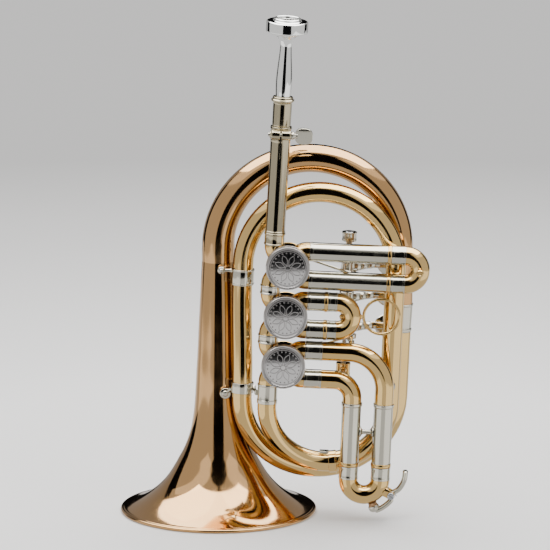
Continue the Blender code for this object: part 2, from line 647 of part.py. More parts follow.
def make_lever(number, wrap):
    frame = add_empty(f"lever_{number + 1}_axis", (AXLE_X, AXLE_Y, LEVER_Z[number]), wrap)
    half = HUB_HEIGHT / 2
    hub = lathe(collar(-half, half, HUB_RADIUS, AXLE_RADIUS + 0.4), "Z", 12)
    lever = add_piece(f"lever_{number + 1}", hub, "nickel_silver", frame)
    crank = block((-1.8, -CRANK_LENGTH - 1.8, -4.2), (1.8, -3.0, -2.6))
    pin = lathe([(0.0, -3.4), (1.0, -3.4), (1.0, 5.6), (0.0, 5.6)], "Z", 8)
    pin = moved(pin, (0.0, -CRANK_LENGTH, 0.0))
    crank = turned(crank, CRANK_REST, "Z")
    pin = turned(pin, CRANK_REST, "Z")
    bar = sweep([
        ((3.4, 1.6, 0.0), 1.7, 0.0), ((7.0, 4.4, 0.0), 1.7, 0.0), ((12.0, 9.4, 0.0), 1.7, 0.0),
        ((17.0, 12.4, 0.0), 1.6, 0.0), ((24.0, PLATE_BACK, 0.0), 1.4, 0.0),
    ], 6)
    outline = []
    for step in range(14):
        angle = math.tau * step / 14
        outline.append((PLATE_MIDDLE + 11.0 * math.cos(angle), 8.2 * math.sin(angle)))
    plate = prism(outline, PLATE_BACK - 0.6, PLATE_BACK + 0.8)
    combine(lever, "UNION", crank, pin, bar, plate)

    coil = []
    for x, y, height in helix(3.0, half + 0.8, half + 8.4, 3):
        coil.append(((x, y, height), 0.45, 0.0))
    spring = sweep(coil, 4)
    spring_frame = add_empty(f"spring_{number + 1}_place", (AXLE_X, AXLE_Y, LEVER_Z[number]), wrap)
    add_piece(f"lever_{number + 1}_spring", spring, "steel", spring_frame)


def make_axle(wrap):
    high, low = BRACKET_Z
    drum = 4.0
    heads = (low - drum - GAP, high + drum + GAP)
    axle = lathe([
        (0.0, heads[0] - 1.5), (2.8, heads[0] - 1.5), (2.8, heads[0]), (AXLE_RADIUS, heads[0]),
        (AXLE_RADIUS, heads[1]), (2.8, heads[1]), (2.8, heads[1] + 1.5), (0.0, heads[1] + 1.5),
    ], "Z", 12)
    add_piece("lever_axle", moved(axle, (AXLE_X, AXLE_Y, 0.0)), "steel", wrap)
    for name, height in zip(("upper_axle_bracket", "lower_axle_bracket"), BRACKET_Z):
        ring = lathe(collar(-drum, drum, HUB_RADIUS, AXLE_RADIUS + 0.4), "Z", 12)
        bracket = add_piece(name, moved(ring, (AXLE_X, AXLE_Y, height)), "yellow_brass", wrap)
        tube_z = VALVE_Z[0] + SLIDE_OFFSET if height > 150.0 else height
        foot_y = PORT_Y + SLEEVE_RADIUS + 0.6
        post = straight((AXLE_X, foot_y + 0.8, tube_z), (AXLE_X, AXLE_Y - 4.0, tube_z), 1.8)
        foot = lathe([(0.0, 0.0), (3.0, 0.0), (2.4, 1.4), (0.0, 1.4)], "Y", 10)
        combine(bracket, "UNION", post, moved(foot, (AXLE_X, foot_y, tube_z)))


def make_slide_tube(name, band_x, height, wrap):
    """Fixed outer tube of a straight slide, with a band round its open end."""
    start = VALVE_X + KNUCKLE_END + GAP
    tube = lathe([
        (SLEEVE_BORE, start), (SLEEVE_RADIUS, start), (SLEEVE_RADIUS, band_x[0]),
        (BAND_RADIUS, band_x[0]), (BAND_RADIUS, band_x[1]), (SLEEVE_BORE, band_x[1]),
    ], "X")
    add_piece(name, moved(tube, (0.0, PORT_Y, height)), "nickel_silver", wrap)


def slide_stations(leg_start, ferrule_start, bow_start, half, steps=6):
    """Stations of a U slide that opens towards -X: leg, ferrule, bow, ferrule, leg."""
    stations = [
        ((leg_start, 0.0, half), LEG_RADIUS, LEG_RADIUS - TUBE_WALL),
        ((ferrule_start, 0.0, half), LEG_RADIUS, LEG_RADIUS - TUBE_WALL),
        ((ferrule_start, 0.0, half), FERRULE_RADIUS, LEG_RADIUS - TUBE_WALL),
        ((bow_start, 0.0, half), FERRULE_RADIUS, LEG_RADIUS - TUBE_WALL),
    ]
    for step in range(steps + 1):
        angle = math.pi / 2 - math.pi * step / steps
        point = on_circle((bow_start, 0.0), half, angle, 0.0)
        stations.append((point, KNUCKLE_RADIUS, LEG_RADIUS - TUBE_WALL))
    mirrored = [((x, y, -z), outer, bore) for (x, y, z), outer, bore in stations[:4]]
    return stations + mirrored[::-1]


def make_straight_slides(wrap):
    slides = (
        (0, SLIDE_1_BAND_X, SLIDE_1_BOW_X), (1, SLIDE_2_BAND_X, SLIDE_2_BOW_X),
    )
    frames = []
    for number, band_x, bow_x in slides:
        middle = VALVE_Z[number]
        label = f"slide_{number + 1}"
        make_slide_tube(f"{label}_upper_tube", band_x, middle + SLIDE_OFFSET, wrap)
        make_slide_tube(f"{label}_lower_tube", band_x, middle - SLIDE_OFFSET, wrap)
        frame = add_empty(f"{label}_axis", (0.0, PORT_Y, middle), wrap)
        leg_start = VALVE_X + KNUCKLE_END + 2.0
        stations = slide_stations(leg_start, band_x[1] + GAP, bow_x, SLIDE_OFFSET)
        slide = add_piece(label, sweep(stations), "yellow_brass", frame)
        frames.append((slide, frame))
    first = frames[0][0]
    knob = lathe([
        (0.0, -10.2), (1.6, -10.2), (2.3, -9.4), (2.3, -8.4), (1.3, -7.6), (1.6, -4.6), (0.0, -4.6),
    ], "Y", 12)
    combine(first, "UNION", moved(knob, (SLIDE_1_BOW_X + SLIDE_OFFSET, 0.0, 0.0)))

    section = []
    for step in range(5):
        angle = math.tau * step / 5
        section.append((RING_RADIUS + RING_WIRE * math.cos(angle), RING_WIRE * math.sin(angle)))
    frame = frames[1][1]
    ring_centre = (RING_X, 0.0, RING_Z - VALVE_Z[1])
    ring = add_piece("pull_ring", moved(lathe(section, "Y", 20), ring_centre), "nickel_silver", frame)
    bow_edge = SLIDE_2_BOW_X + SLIDE_OFFSET + KNUCKLE_RADIUS + GAP
    stub = lathe([(0.0, bow_edge), (1.3, bow_edge), (1.1, bow_edge + 2.4), (0.0, bow_edge + 2.4)], "X", 8)
    combine(ring, "UNION", moved(stub, (0.0, 0.0, ring_centre[2] * 0.4)))


def make_third_slide_fixed(wrap):
    """Two bends from horizontal to vertical, then a braced pair of vertical tubes."""
    start = VALVE_X + KNUCKLE_END + GAP
    for name, side, height, steps in (
        ("slide_3_upper_bend", SLIDE_3_RIGHT_X, VALVE_Z[2] + SLIDE_OFFSET, 6),
        ("slide_3_lower_bend", SLIDE_3_LEFT_X, VALVE_Z[2] - SLIDE_OFFSET, 5),
    ):
        radius = 24.0 if side == SLIDE_3_RIGHT_X else 12.0
        bore = KNUCKLE_RADIUS - TUBE_WALL
        stations = [
            ((start, PORT_Y, height), FERRULE_RADIUS, bore),
            ((start + 11.0, PORT_Y, height), FERRULE_RADIUS, bore),
            ((start + 11.0, PORT_Y, height), KNUCKLE_RADIUS, bore),
        ]
        centre = (side - radius, height - radius)
        for point in arc(centre, radius, math.pi / 2, 0.0, steps, (PORT_Y, PORT_Y)):
            stations.append((point, KNUCKLE_RADIUS, bore))
        stations.append(((side, PORT_Y, SLIDE_3_RING_Z + 1.2 + GAP), KNUCKLE_RADIUS, bore))
        add_piece(name, sweep(stations), "yellow_brass", wrap)

    profile = [
        (SLEEVE_BORE, SLIDE_3_RING_Z + 1.2), (BAND_RADIUS, SLIDE_3_RING_Z + 1.2),
        (BAND_RADIUS, SLIDE_3_RING_Z - 1.2), (SLEEVE_RADIUS, SLIDE_3_RING_Z - 1.2),
        (SLEEVE_RADIUS, SLIDE_3_BAND_Z[1]), (BAND_RADIUS, SLIDE_3_BAND_Z[1]),
        (BAND_RADIUS, SLIDE_3_BAND_Z[0]), (SLEEVE_BORE, SLIDE_3_BAND_Z[0]),
    ]
    left = moved(lathe(profile), (SLIDE_3_LEFT_X, PORT_Y, 0.0))
    right = moved(lathe(profile), (SLIDE_3_RIGHT_X, PORT_Y, 0.0))
    tubes = add_piece("slide_3_outer_tubes", left, "nickel_silver", wrap)
    rod_ends = (SLIDE_3_LEFT_X + 5.85, SLIDE_3_RIGHT_X - 5.85)
    rod = lathe([
        (0.0, rod_ends[0]), (3.2, rod_ends[0]), (1.5, rod_ends[0] + 1.6), (1.5, rod_ends[1] - 1.6),
        (3.2, rod_ends[1]), (0.0, rod_ends[1]),
    ], "X", 10)
    combine(tubes, "UNION", right, moved(rod, (0.0, PORT_Y, SLIDE_3_BRACE_Z)))

    half = WRAP_SPACER_THICKNESS / 2
    spacer = lathe([
        (0.0, -half), (WRAP_SPACER_RADIUS, -half), (WRAP_SPACER_RADIUS, half), (0.0, half),
    ], "Y", 12)
    add_piece("wrap_spacer", moved(spacer, WRAP_SPACER_AT), "nickel_silver", wrap)


def make_third_slide(wrap):
    middle = (SLIDE_3_LEFT_X + SLIDE_3_RIGHT_X) / 2
    half = (SLIDE_3_RIGHT_X - SLIDE_3_LEFT_X) / 2
    frame = add_empty("slide_3_axis", (middle, PORT_Y, SLIDE_3_BOW_Z), wrap)
    leg_start = SLIDE_3_BOW_Z - SLIDE_3_RING_Z
    ferrule_start = SLIDE_3_BOW_Z - SLIDE_3_BAND_Z[0] + GAP
    bm = sweep(slide_stations(leg_start, ferrule_start, 0.0, half))
    slide = add_piece("slide_3", turned(bm, math.pi / 2, "Y"), "yellow_brass", frame)
    ears = []
    for low, high in ((-4.4, -2.7), (2.7, 4.4)):
        ear = block((half + 3.0, low, -2.6), (KEY_PIVOT_RADIUS + 2.6, high, 2.6))
        ears.append(turned(ear, -KEY_PIVOT_ANGLE, "Y"))
    pivot = on_circle((0.0, 0.0), KEY_PIVOT_RADIUS, KEY_PIVOT_ANGLE, 0.0)
    hole = lathe([(0.0, -6.0), (1.3, -6.0), (1.3, 6.0), (0.0, 6.0)], "Y", 10)
    combine(slide, "UNION", *ears)
    combine(slide, "DIFFERENCE", moved(hole, pivot))

    screw = lathe([
        (0.0, -6.0), (2.2, -6.0), (2.2, -4.75), (1.0, -4.75), (1.0, 5.0), (0.0, 5.0),
    ], "Y", 10)
    add_piece("water_key_screw", moved(screw, pivot), "steel", frame)
    make_water_key(frame, pivot)


def make_water_key(slide_frame, pivot):
    frame = add_empty("water_key_axis", pivot, slide_frame)
    hub = lathe([(2.6, -2.2), (2.6, 2.2), (1.4, 2.2), (1.4, -2.2)], "Y", 12)
    key = add_piece("water_key", hub, "nickel_silver", frame)
    touch = sweep([
        ((1.4, 0.0, 1.2), 1.5, 0.0), ((5.2, 0.0, 4.2), 1.5, 0.0), ((8.0, 0.0, 9.6), 1.6, 0.0),
        ((8.9, 0.0, 16.6), 1.5, 0.0),
    ], 6)
    reach = []
    for step in range(6):
        angle = math.radians(-37.0) + (KEY_PAD_ANGLE - math.radians(-37.0)) * step / 5
        reach.append((on_circle((0.0, 0.0), 22.6, angle, 0.0) - pivot, 1.3, 0.0))
    lower = sweep([(reach[0][0] * 0.5, 1.3, 0.0)] + reach, 6)
    cup = lathe([(0.0, 19.9), (3.5, 19.9), (3.5, 21.4), (2.0, 22.8), (0.0, 22.8)], "X", 12)
    cup = moved(turned(cup, -KEY_PAD_ANGLE, "Y"), -pivot)
    combine(key, "UNION", touch, lower, cup)

    cork = lathe([(0.0, 16.9), (2.8, 16.9), (2.8, 19.6), (0.0, 19.6)], "X", 12)
    cork = moved(turned(cork, -KEY_PAD_ANGLE, "Y"), -pivot)
    add_piece("water_key_cork", cork, "cork", frame)

    coil = []
    for x, z, depth in helix(1.9, 5.6, 8.2, 2):
        coil.append(((x, depth, z), 0.35, 0.0))
    spring = sweep(coil, 4)
    add_piece("water_key_spring", moved(spring, pivot), "steel", slide_frame)


def make_knuckle_ferrules(wrap):
    reach = (VALVE_Z[0] - VALVE_Z[1]) / 2
    for name, number in (("upper_knuckle_ferrule", 0), ("lower_knuckle_ferrule", 1)):
        ferrule = lathe(collar(-3.0 + GAP, 3.0 - GAP, 6.7, 5.2))
        place = (VALVE_X - LINK_OFFSET, PORT_Y, VALVE_Z[number] - reach)
        add_piece(name, moved(ferrule, place), "nickel_silver", wrap)


def build():
    instrument = add_empty("bell_axis", (BELL_X, 0.0, 0.0))
    wrap = add_empty("wrap_frame", (0.0, 0.0, 0.0), instrument, (0.0, WRAP_LEAN, 0.0))
    leadpipe = add_empty(
        "leadpipe_axis", (LEADPIPE_X, PORT_Y, LEADPIPE_Z), wrap, (0.0, LEADPIPE_LEAN, 0.0)
    )
    make_bell(instrument)
    make_bell_bow(instrument, wrap)
    make_main_tubing(wrap)
    make_bell_braces(wrap)
    make_leadpipe(leadpipe)
    make_knuckle_ferrules(wrap)
    for number, height in enumerate(VALVE_Z):
        valve = add_empty(f"valve_{number + 1}_place", (VALVE_X, PORT_Y, height), wrap)
        rotor_frame = make_valve(number, valve)
        make_connecting_rod(number, rotor_frame)
        make_lever(number, wrap)
    make_axle(wrap)
    make_straight_slides(wrap)
    make_third_slide_fixed(wrap)
    make_third_slide(wrap)


clear_scene()
MATERIALS = make_materials()
build()
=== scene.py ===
"""Looks of the rotary-valve trumpet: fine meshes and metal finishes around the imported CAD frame.

Shapes are worked out in millimetres. Most of them are placed in the wrap's frame, which stands on the
bell's axis and leans about Y, and the rest in the leadpipe's frame, which leans a little more.
"""

import json
from math import atan2, cos, hypot, pi, radians, sin, sqrt, tan, tau

import bmesh
import bpy
from mathutils import Matrix, Vector


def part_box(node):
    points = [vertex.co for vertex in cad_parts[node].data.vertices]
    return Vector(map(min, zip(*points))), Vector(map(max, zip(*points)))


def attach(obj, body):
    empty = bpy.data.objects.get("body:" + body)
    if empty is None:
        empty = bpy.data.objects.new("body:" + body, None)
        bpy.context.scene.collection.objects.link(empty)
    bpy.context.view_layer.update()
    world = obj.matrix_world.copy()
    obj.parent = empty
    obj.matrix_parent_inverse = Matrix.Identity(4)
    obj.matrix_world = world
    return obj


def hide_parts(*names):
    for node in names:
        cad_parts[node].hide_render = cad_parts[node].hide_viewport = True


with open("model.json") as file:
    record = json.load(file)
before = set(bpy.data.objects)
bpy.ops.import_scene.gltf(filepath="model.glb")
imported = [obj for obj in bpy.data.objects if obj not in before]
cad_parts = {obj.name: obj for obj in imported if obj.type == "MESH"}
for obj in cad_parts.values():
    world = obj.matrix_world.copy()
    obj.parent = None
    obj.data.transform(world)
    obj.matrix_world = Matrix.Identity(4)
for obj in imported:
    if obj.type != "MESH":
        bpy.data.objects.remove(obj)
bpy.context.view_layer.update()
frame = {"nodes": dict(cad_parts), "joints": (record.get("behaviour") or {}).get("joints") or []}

MM = 0.001
JOINTS = {joint["name"]: joint for joint in frame["joints"]}
BACKGROUND = (0.78, 0.77, 0.76, 1.0)
DOWN = Vector((0.0, 0.0, -1.0))
UP = Vector((0.0, 0.0, 1.0))


def in_mm(values):
    return Vector(values) / MM


def joint_point(name):
    return in_mm(JOINTS[name]["pos_m"])


def lean_of(name):
    """How far a slide's axis leans about Y, from its direction along X or Z."""
    axis = Vector(JOINTS[name]["axis"])
    return atan2(axis.x, axis.z) if abs(axis.z) > abs(axis.x) else atan2(-axis.z, axis.x)


# Frames of reference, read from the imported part
BELL_LOW, BELL_HIGH = (in_mm(corner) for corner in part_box("bell"))
BELL_PLACE = Matrix.Translation(((BELL_LOW.x + BELL_HIGH.x) / 2, 0.0, 0.0))
BELL_RIM_RADIUS = (BELL_HIGH.x - BELL_LOW.x) / 2
BELL_TOP_Z = BELL_HIGH.z
WRAP_LEAN = lean_of("slide_1_pull")
WRAP = BELL_PLACE @ Matrix.Rotation(WRAP_LEAN, 4, "Y")
TO_WRAP = WRAP.inverted()
VALVES = [TO_WRAP @ joint_point(f"rotor_{number}_turn") for number in (1, 2, 3)]
LEVERS = [TO_WRAP @ joint_point(f"lever_{number}_press") for number in (1, 2, 3)]
ROD_PINS = [TO_WRAP @ joint_point(f"rod_{number}_pivot") for number in (1, 2, 3)]
KEY_PIVOT = TO_WRAP @ joint_point("water_key_press")
VALVE_X, PORT_Y, VALVE_1_Z = VALVES[0]
VALVE_PITCH = VALVES[0].z - VALVES[1].z
AXLE_X, AXLE_Y, _ = LEVERS[0]
CLAMP_AXIS = joint_point("clamp_screw_turn")
LEAD_LEAN = lean_of("receiver_slide")

# Tubes of the wrap
WALL = 0.8
JOINT_GAP = 0.12
BOW_CENTRE = (51.2, 177.0)
BOW_RADIUS = 59.2
BOW_START = radians(177.4)
TAIL_X = 112.4
TAIL_FERRULE_Z = (124.6, 143.2)
MAIN_RADIUS = 6.4
INNER_LEFT_X, INNER_RIGHT_X = 8.6, 106.9
INNER_Y = -13.5
INNER_BOW_Z = 167.8
UPPER_JOINT_Z = 159.5
LOWER_BRACE_Z = 86.9
OUTER_BOW_CENTRE = (62.0, 82.3)
OUTER_BOW_RADIUS = 50.4
OUTER_BOW_STEP = 3.8
EXIT_X = 27.9
LEADPIPE_Z = 184.1
EXIT_FERRULE_Z = (79.5, 92.2)
BOTTOM_BOW_RADIUS = (INNER_RIGHT_X - EXIT_X) / 2
BOTTOM_BOW_CENTRE = (EXIT_X + BOTTOM_BOW_RADIUS, 78.7)
BOTTOM_FERRULE_ANGLE = radians(277.0)
BOTTOM_FERRULE_AXIS = (-sin(BOTTOM_FERRULE_ANGLE), 0.0, cos(BOTTOM_FERRULE_ANGLE))
BOTTOM_FERRULE_Y = INNER_Y - 1.4
BOW_LUG = (66.5, INNER_Y - 1.7, BOTTOM_BOW_CENTRE[1] - BOTTOM_BOW_RADIUS)
WRAP_SPACER = (106.9, -20.6, 92.4)

# Leadpipe and mouthpiece, as heights above the leadpipe's foot
LEAD_TURN = Matrix.Rotation(LEAD_LEAN, 4, "Y")
LEAD = Matrix.Translation(WRAP @ Vector((EXIT_X, PORT_Y, LEADPIPE_Z))) @ LEAD_TURN
_, CLAMP_Y, CLAMP_HEIGHT = LEAD.inverted() @ CLAMP_AXIS
SLEEVE_TOP = 78.0
RECEIVER_TOP = 97.4
MOUTHPIECE_TOP = 148.6
SPADE_TILT = radians(9.0)

# Valves
CAP_RADIUS = 14.15
CAP_FACE_RADIUS = 12.0
PETALS = 8
CASING_BACK_Y = 8.6
SLIDE_OFFSET = 9.3
LINK_OFFSET = 10.5
KNUCKLE_RADIUS = 6.1
KNUCKLE_BEND = 6.4
KNUCKLE_END = 13.7
STOP_MIDDLE = radians(265.0)
STOP_SPREAD = radians(70.0)
STOP_POST_REACH = 8.3
STOP_ARM_REST = radians(50.0)
STOP_ARM_LENGTH = 6.0

# Slides and keys
SLIDE_TUBE_X = VALVE_X + KNUCKLE_END + 0.15
LEG_RADIUS = 5.3
SLEEVE_RADIUS = 6.15
SLEEVE_BORE = 5.5
BAND_RADIUS = 6.6
FERRULE_RADIUS = 6.3
SLIDE_1_BAND_X = (101.2, 103.6)
SLIDE_1_BOW_X = 112.8
SLIDE_2_BAND_X = (61.8, 64.2)
SLIDE_2_BOW_X = 70.1
SLIDE_3_LEFT_X, SLIDE_3_RIGHT_X = 82.6, 103.2
SLIDE_3_RING_Z = 81.0
SLIDE_3_BAND_Z = (40.4, 42.8)
SLIDE_3_BOW_Z = 32.0
SLIDE_3_BRACE_Z = 63.0
RING_CENTRE = (99.0, 139.7)
RING_RADIUS = 11.5
KEY_PAD_ANGLE = radians(-69.0)
KEY_ARM_ANGLE = radians(-37.0)
KEY_ARM_RADIUS = 22.6
CRANK_LENGTH = 24.0
CRANK_REST = radians(10.0)
HUB_RADIUS = 4.75
AXLE_BORE = 1.65
PLATE_BACK = 13.0
PLATE_MIDDLE = 30.0
PLATE_RADII = (11.0, 8.2)
BRACKET_Z = (184.3, 95.2)


# Mesh tools

def soften(points, size=0.25, closed=True, steps=3):
    """Round the corners of an outline, each by no more than a third of its shorter side."""
    rounded = []
    count = len(points)
    for index in range(count):
        corner = Vector(points[index])
        if not closed and index in (0, count - 1):
            rounded.append(tuple(corner))
            continue
        before = Vector(points[index - 1]) - corner
        after = Vector(points[(index + 1) % count]) - corner
        reach = min(size, before.length / 3, after.length / 3)
        start = corner + before.normalized() * reach
        end = corner + after.normalized() * reach
        for step in range(steps + 1):
            share = step / steps
            first = start.lerp(corner, share)
            rounded.append(tuple(first.lerp(corner.lerp(end, share), share)))
    return rounded


def through(points, per=6):
    """Smooth curve through points, with a number of steps between each two."""
    points = [Vector(point) for point in points]
    ends = [points[0] * 2 - points[1]] + points + [points[-1] * 2 - points[-2]]
    curve = []
    for a, b, c, d in zip(ends, ends[1:], ends[2:], ends[3:]):
        for step in range(per):
            t = step / per
            bend = (b * 2.0 + (c - a) * t + (a * 2.0 - b * 5.0 + c * 4.0 - d) * t * t
                    + (b * 3.0 - a - c * 3.0 + d) * t * t * t)
            curve.append(tuple(bend * 0.5))
    curve.append(tuple(points[-1]))
    return curve


def lathe(profile, axis="Z", sides=64):
    """Solid of revolution of (radius, height). It closes itself where it starts off the axis."""
    bm = bmesh.new()
    verts = [bm.verts.new((radius, 0.0, height)) for radius, height in profile]
    edges = [bm.edges.new(pair) for pair in zip(verts, verts[1:])]
    if profile[0][0] > 0.0:
        edges.append(bm.edges.new((verts[-1], verts[0])))
    bmesh.ops.spin(bm, geom=verts + edges, cent=(0, 0, 0), axis=(0, 0, 1), angle=tau, steps=sides)
    bmesh.ops.remove_doubles(bm, verts=bm.verts, dist=0.0005)
    turns = {
        "X": Matrix.Rotation(radians(90.0), 4, "Y"),
        "Y": Matrix.Rotation(radians(-90.0), 4, "X"),
        "Z": Matrix.Identity(4),
    }
    bm.transform(turns[axis])
    return bm


def turned_solid(profile, axis="Z", size=0.25, sides=48):
    """Lathe of an outline that starts and ends on the axis, with softened edges."""
    return lathe(soften(profile, size, closed=False), axis, sides)


def turned_ring(profile, axis="Z", size=0.25, sides=64):
    """Lathe of a closed outline beside the axis, with softened edges."""
    return lathe(soften(profile, size), axis, sides)


def band_solid(low, high, outer, bore, axis="Z", size=0.25, sides=48):
    return turned_ring([(outer, high), (outer, low), (bore, low), (bore, high)], axis, size, sides)


def bridge(bm, first, second):
    """Faces between two rings of vertices."""
    for side, vert in enumerate(first):
        follow = (side + 1) % len(first)
        bm.faces.new((vert, first[follow], second[follow], second[side]))


def loft(loops):
    """Solid over a row of loops of points."""
    bm = bmesh.new()
    rings = [[bm.verts.new(point) for point in loop] for loop in loops]
    for first, second in zip(rings, rings[1:]):
        bridge(bm, first, second)
    bm.faces.new(rings[0])
    bm.faces.new(rings[-1])
    return bm


def moved(bm, offset):
    bmesh.ops.translate(bm, vec=offset, verts=bm.verts)
    return bm


def turned(bm, angle, axis):
    bm.transform(Matrix.Rotation(angle, 4, axis))
    return bm


def merged(*shapes):
    """One bmesh that holds several shapes."""
    target = shapes[0]
    for shape in shapes[1:]:
        scratch = bpy.data.meshes.new("scratch")
        shape.to_mesh(scratch)
        shape.free()
        target.from_mesh(scratch)
        bpy.data.meshes.remove(scratch)
    return target


def sweep(points, outer, bore=0.0, sides=32, first=None, last=None):
    """Tube along points. outer and bore are numbers, or lists with one number for each point."""
    points = [Vector(point) for point in points]
    count = len(points)
    outers = outer if isinstance(outer, list) else [outer] * count
    bores = bore if isinstance(bore, list) else [bore] * count
    tangents = []
    for index in range(count):
        ahead = points[min(index + 1, count - 1)] - points[index]
        behind = points[index] - points[max(index - 1, 0)]
        tangents.append((ahead.normalized() + behind.normalized()).normalized())
    tangents[0] = Vector(first).normalized() if first else tangents[0]
    tangents[-1] = Vector(last).normalized() if last else tangents[-1]
    across = Vector((0.0, 1.0, 0.0))
    if abs(tangents[0].y) > 0.9:
        across = Vector((1.0, 0.0, 0.0))
    bm = bmesh.new()
    loops = []
    for point, tangent, outside, inside in zip(points, tangents, outers, bores):
        across = (across - tangent * across.dot(tangent)).normalized()
        upward = tangent.cross(across)
        rings = []
        for radius in (outside, inside):
            ring = []
            for step in range(sides if radius > 0.0 else 0):
                angle = tau * step / sides
                spoke = across * cos(angle) + upward * sin(angle)
                ring.append(bm.verts.new(point + spoke * radius))
            rings.append(ring)
        loops.append(rings)
    for (outer_a, bore_a), (outer_b, bore_b) in zip(loops, loops[1:]):
        bridge(bm, outer_a, outer_b)
        bridge(bm, bore_b, bore_a)
    for outside, inside in (loops[0], loops[-1]):
        if inside:
            bridge(bm, outside, inside)
        else:
            bm.faces.new(outside)
    return bm


def pipe(points, radii, sides=48, first=None, last=None):
    """Tube with a wall of even thickness."""
    return sweep(points, radii, [radius - WALL for radius in radii], sides, first, last)


def flattened_bar(points, widths, thickness, sides=24):
    """Bar with an oval section, wider along Y than it is thick."""
    points = [Vector(point) for point in points]
    last = len(points) - 1
    loops = []
    for index, point in enumerate(points):
        ahead = points[min(index + 1, last)] - points[max(index - 1, 0)]
        normal = ahead.normalized().cross(Vector((0.0, 1.0, 0.0)))
        taper = 0.75 if index in (0, last) else 1.0
        section = oval((0.0, 0.0), (widths[index] * taper, thickness * taper), 0.0, tau, sides)[:-1]
        loops.append([point + Vector((0.0, wide, 0.0)) + normal * thick for wide, thick in section])
    return loft(loops)


def strap(points, widths, thickness):
    """Bar with an oval section that runs in the XY plane and is wider along Z than it is thick."""
    tipped = [Matrix.Rotation(pi / 2, 4, "X") @ Vector(point) for point in points]
    return turned(flattened_bar(tipped, widths, thickness), -pi / 2, "X")


def plate(outline, low, high, bevel=0.3):
    """Flat plate from an outline in X and Z, between two heights in Y, with bevelled edges."""
    bm = bmesh.new()
    face = bm.faces.new([bm.verts.new((x, low, z)) for x, z in outline])
    extruded = bmesh.ops.extrude_face_region(bm, geom=[face])
    raised = [item for item in extruded["geom"] if isinstance(item, bmesh.types.BMVert)]
    bmesh.ops.translate(bm, vec=(0.0, high - low, 0.0), verts=raised)
    rims = [edge for edge in bm.edges if abs(edge.verts[0].co.y - edge.verts[1].co.y) < 1e-6]
    bmesh.ops.bevel(bm, geom=rims, offset=bevel, segments=3, profile=0.5, affect="EDGES")
    return bm


def slab(low, high, bevel=0.35):
    """Box with rounded edges."""
    bm = bmesh.new()
    bmesh.ops.create_cube(bm, size=1.0)
    bmesh.ops.scale(bm, vec=Vector(high) - Vector(low), verts=bm.verts)
    bmesh.ops.translate(bm, vec=(Vector(high) + Vector(low)) / 2, verts=bm.verts)
    bmesh.ops.bevel(bm, geom=bm.edges[:], offset=bevel, segments=3, profile=0.5, affect="EDGES")
    return bm


def oval(centre, radii, start, stop, steps):
    """Points on an ellipse from one angle to another, with both ends."""
    points = []
    for angle in spread(start, stop, steps + 1):
        points.append((centre[0] + radii[0] * cos(angle), centre[1] + radii[1] * sin(angle)))
    return points


def capsule(length, radius, end_radius, steps=14):
    """Outline of a strap with round ends, from (0, 0) to (0, length)."""
    start = oval((0.0, 0.0), (radius, radius), pi, tau, steps)
    return start + oval((0.0, length), (end_radius, end_radius), 0.0, pi, steps)


def on_circle(centre, radius, angle, depth):
    return Vector((centre[0] + radius * cos(angle), depth, centre[1] + radius * sin(angle)))


def ease(share):
    share = min(max(share, 0.0), 1.0)
    return share * share * (3.0 - 2.0 * share)


def arc(centre, radius, start, stop, steps, depths):
    points = []
    for step in range(steps + 1):
        share = step / steps
        depth = depths[0] + (depths[1] - depths[0]) * ease(share)
        points.append(on_circle(centre, radius, start + (stop - start) * share, depth))
    return points


def run(start, end, steps):
    """Evenly spaced points on a straight line, without the last."""
    return [Vector(start).lerp(Vector(end), step / steps) for step in range(steps)]


def spread(start, end, count):
    return [start + (end - start) * index / (count - 1) for index in range(count)]


# Materials

class Nodes:
    """Short names for building a node tree."""

    def __init__(self, material):
        self.tree = material.node_tree
        self.shader = self.tree.nodes["Principled BSDF"]
        self.place = self.add("ShaderNodeTexCoord").outputs["Object"]

    def add(self, kind, **settings):
        node = self.tree.nodes.new(kind)
        for name, value in settings.items():
            setattr(node, name, value)
        return node

    def link(self, source, target):
        self.tree.links.new(source, target)

    def noise(self, scale, detail=4.0, stretch=(1.0, 1.0, 1.0), roughness=0.5):
        mapping = self.add("ShaderNodeMapping")
        mapping.inputs["Scale"].default_value = stretch
        self.link(self.place, mapping.inputs["Vector"])
        noise = self.add("ShaderNodeTexNoise")
        noise.inputs["Scale"].default_value = scale
        noise.inputs["Detail"].default_value = detail
        noise.inputs["Roughness"].default_value = roughness
        self.link(mapping.outputs["Vector"], noise.inputs["Vector"])
        return noise.outputs["Fac"]

    def span(self, value, low, high, start=0.3, stop=0.7):
        """Map a value between start and stop onto low to high."""
        node = self.add("ShaderNodeMapRange")
        node.inputs["From Min"].default_value = start
        node.inputs["From Max"].default_value = stop
        node.inputs["To Min"].default_value = low
        node.inputs["To Max"].default_value = high
        self.link(value, node.inputs["Value"])
        return node.outputs["Result"]

    def mix(self, factor, first, second):
        node = self.add("ShaderNodeMix", data_type="RGBA")
        for index, value in ((0, factor), (6, first), (7, second)):
            if isinstance(value, tuple):
                node.inputs[index].default_value = (*value, 1.0)
            else:
                self.link(value, node.inputs[index])
        return node.outputs[2]

    def total(self, first, second):
        node = self.add("ShaderNodeMath", operation="ADD")
        self.link(first, node.inputs[0])
        self.link(second, node.inputs[1])
        return node.outputs["Value"]

    def bump(self, height, strength, distance):
        node = self.add("ShaderNodeBump")
        node.inputs["Strength"].default_value = strength
        node.inputs["Distance"].default_value = distance
        self.link(height, node.inputs["Height"])
        self.link(node.outputs["Normal"], self.shader.inputs["Normal"])


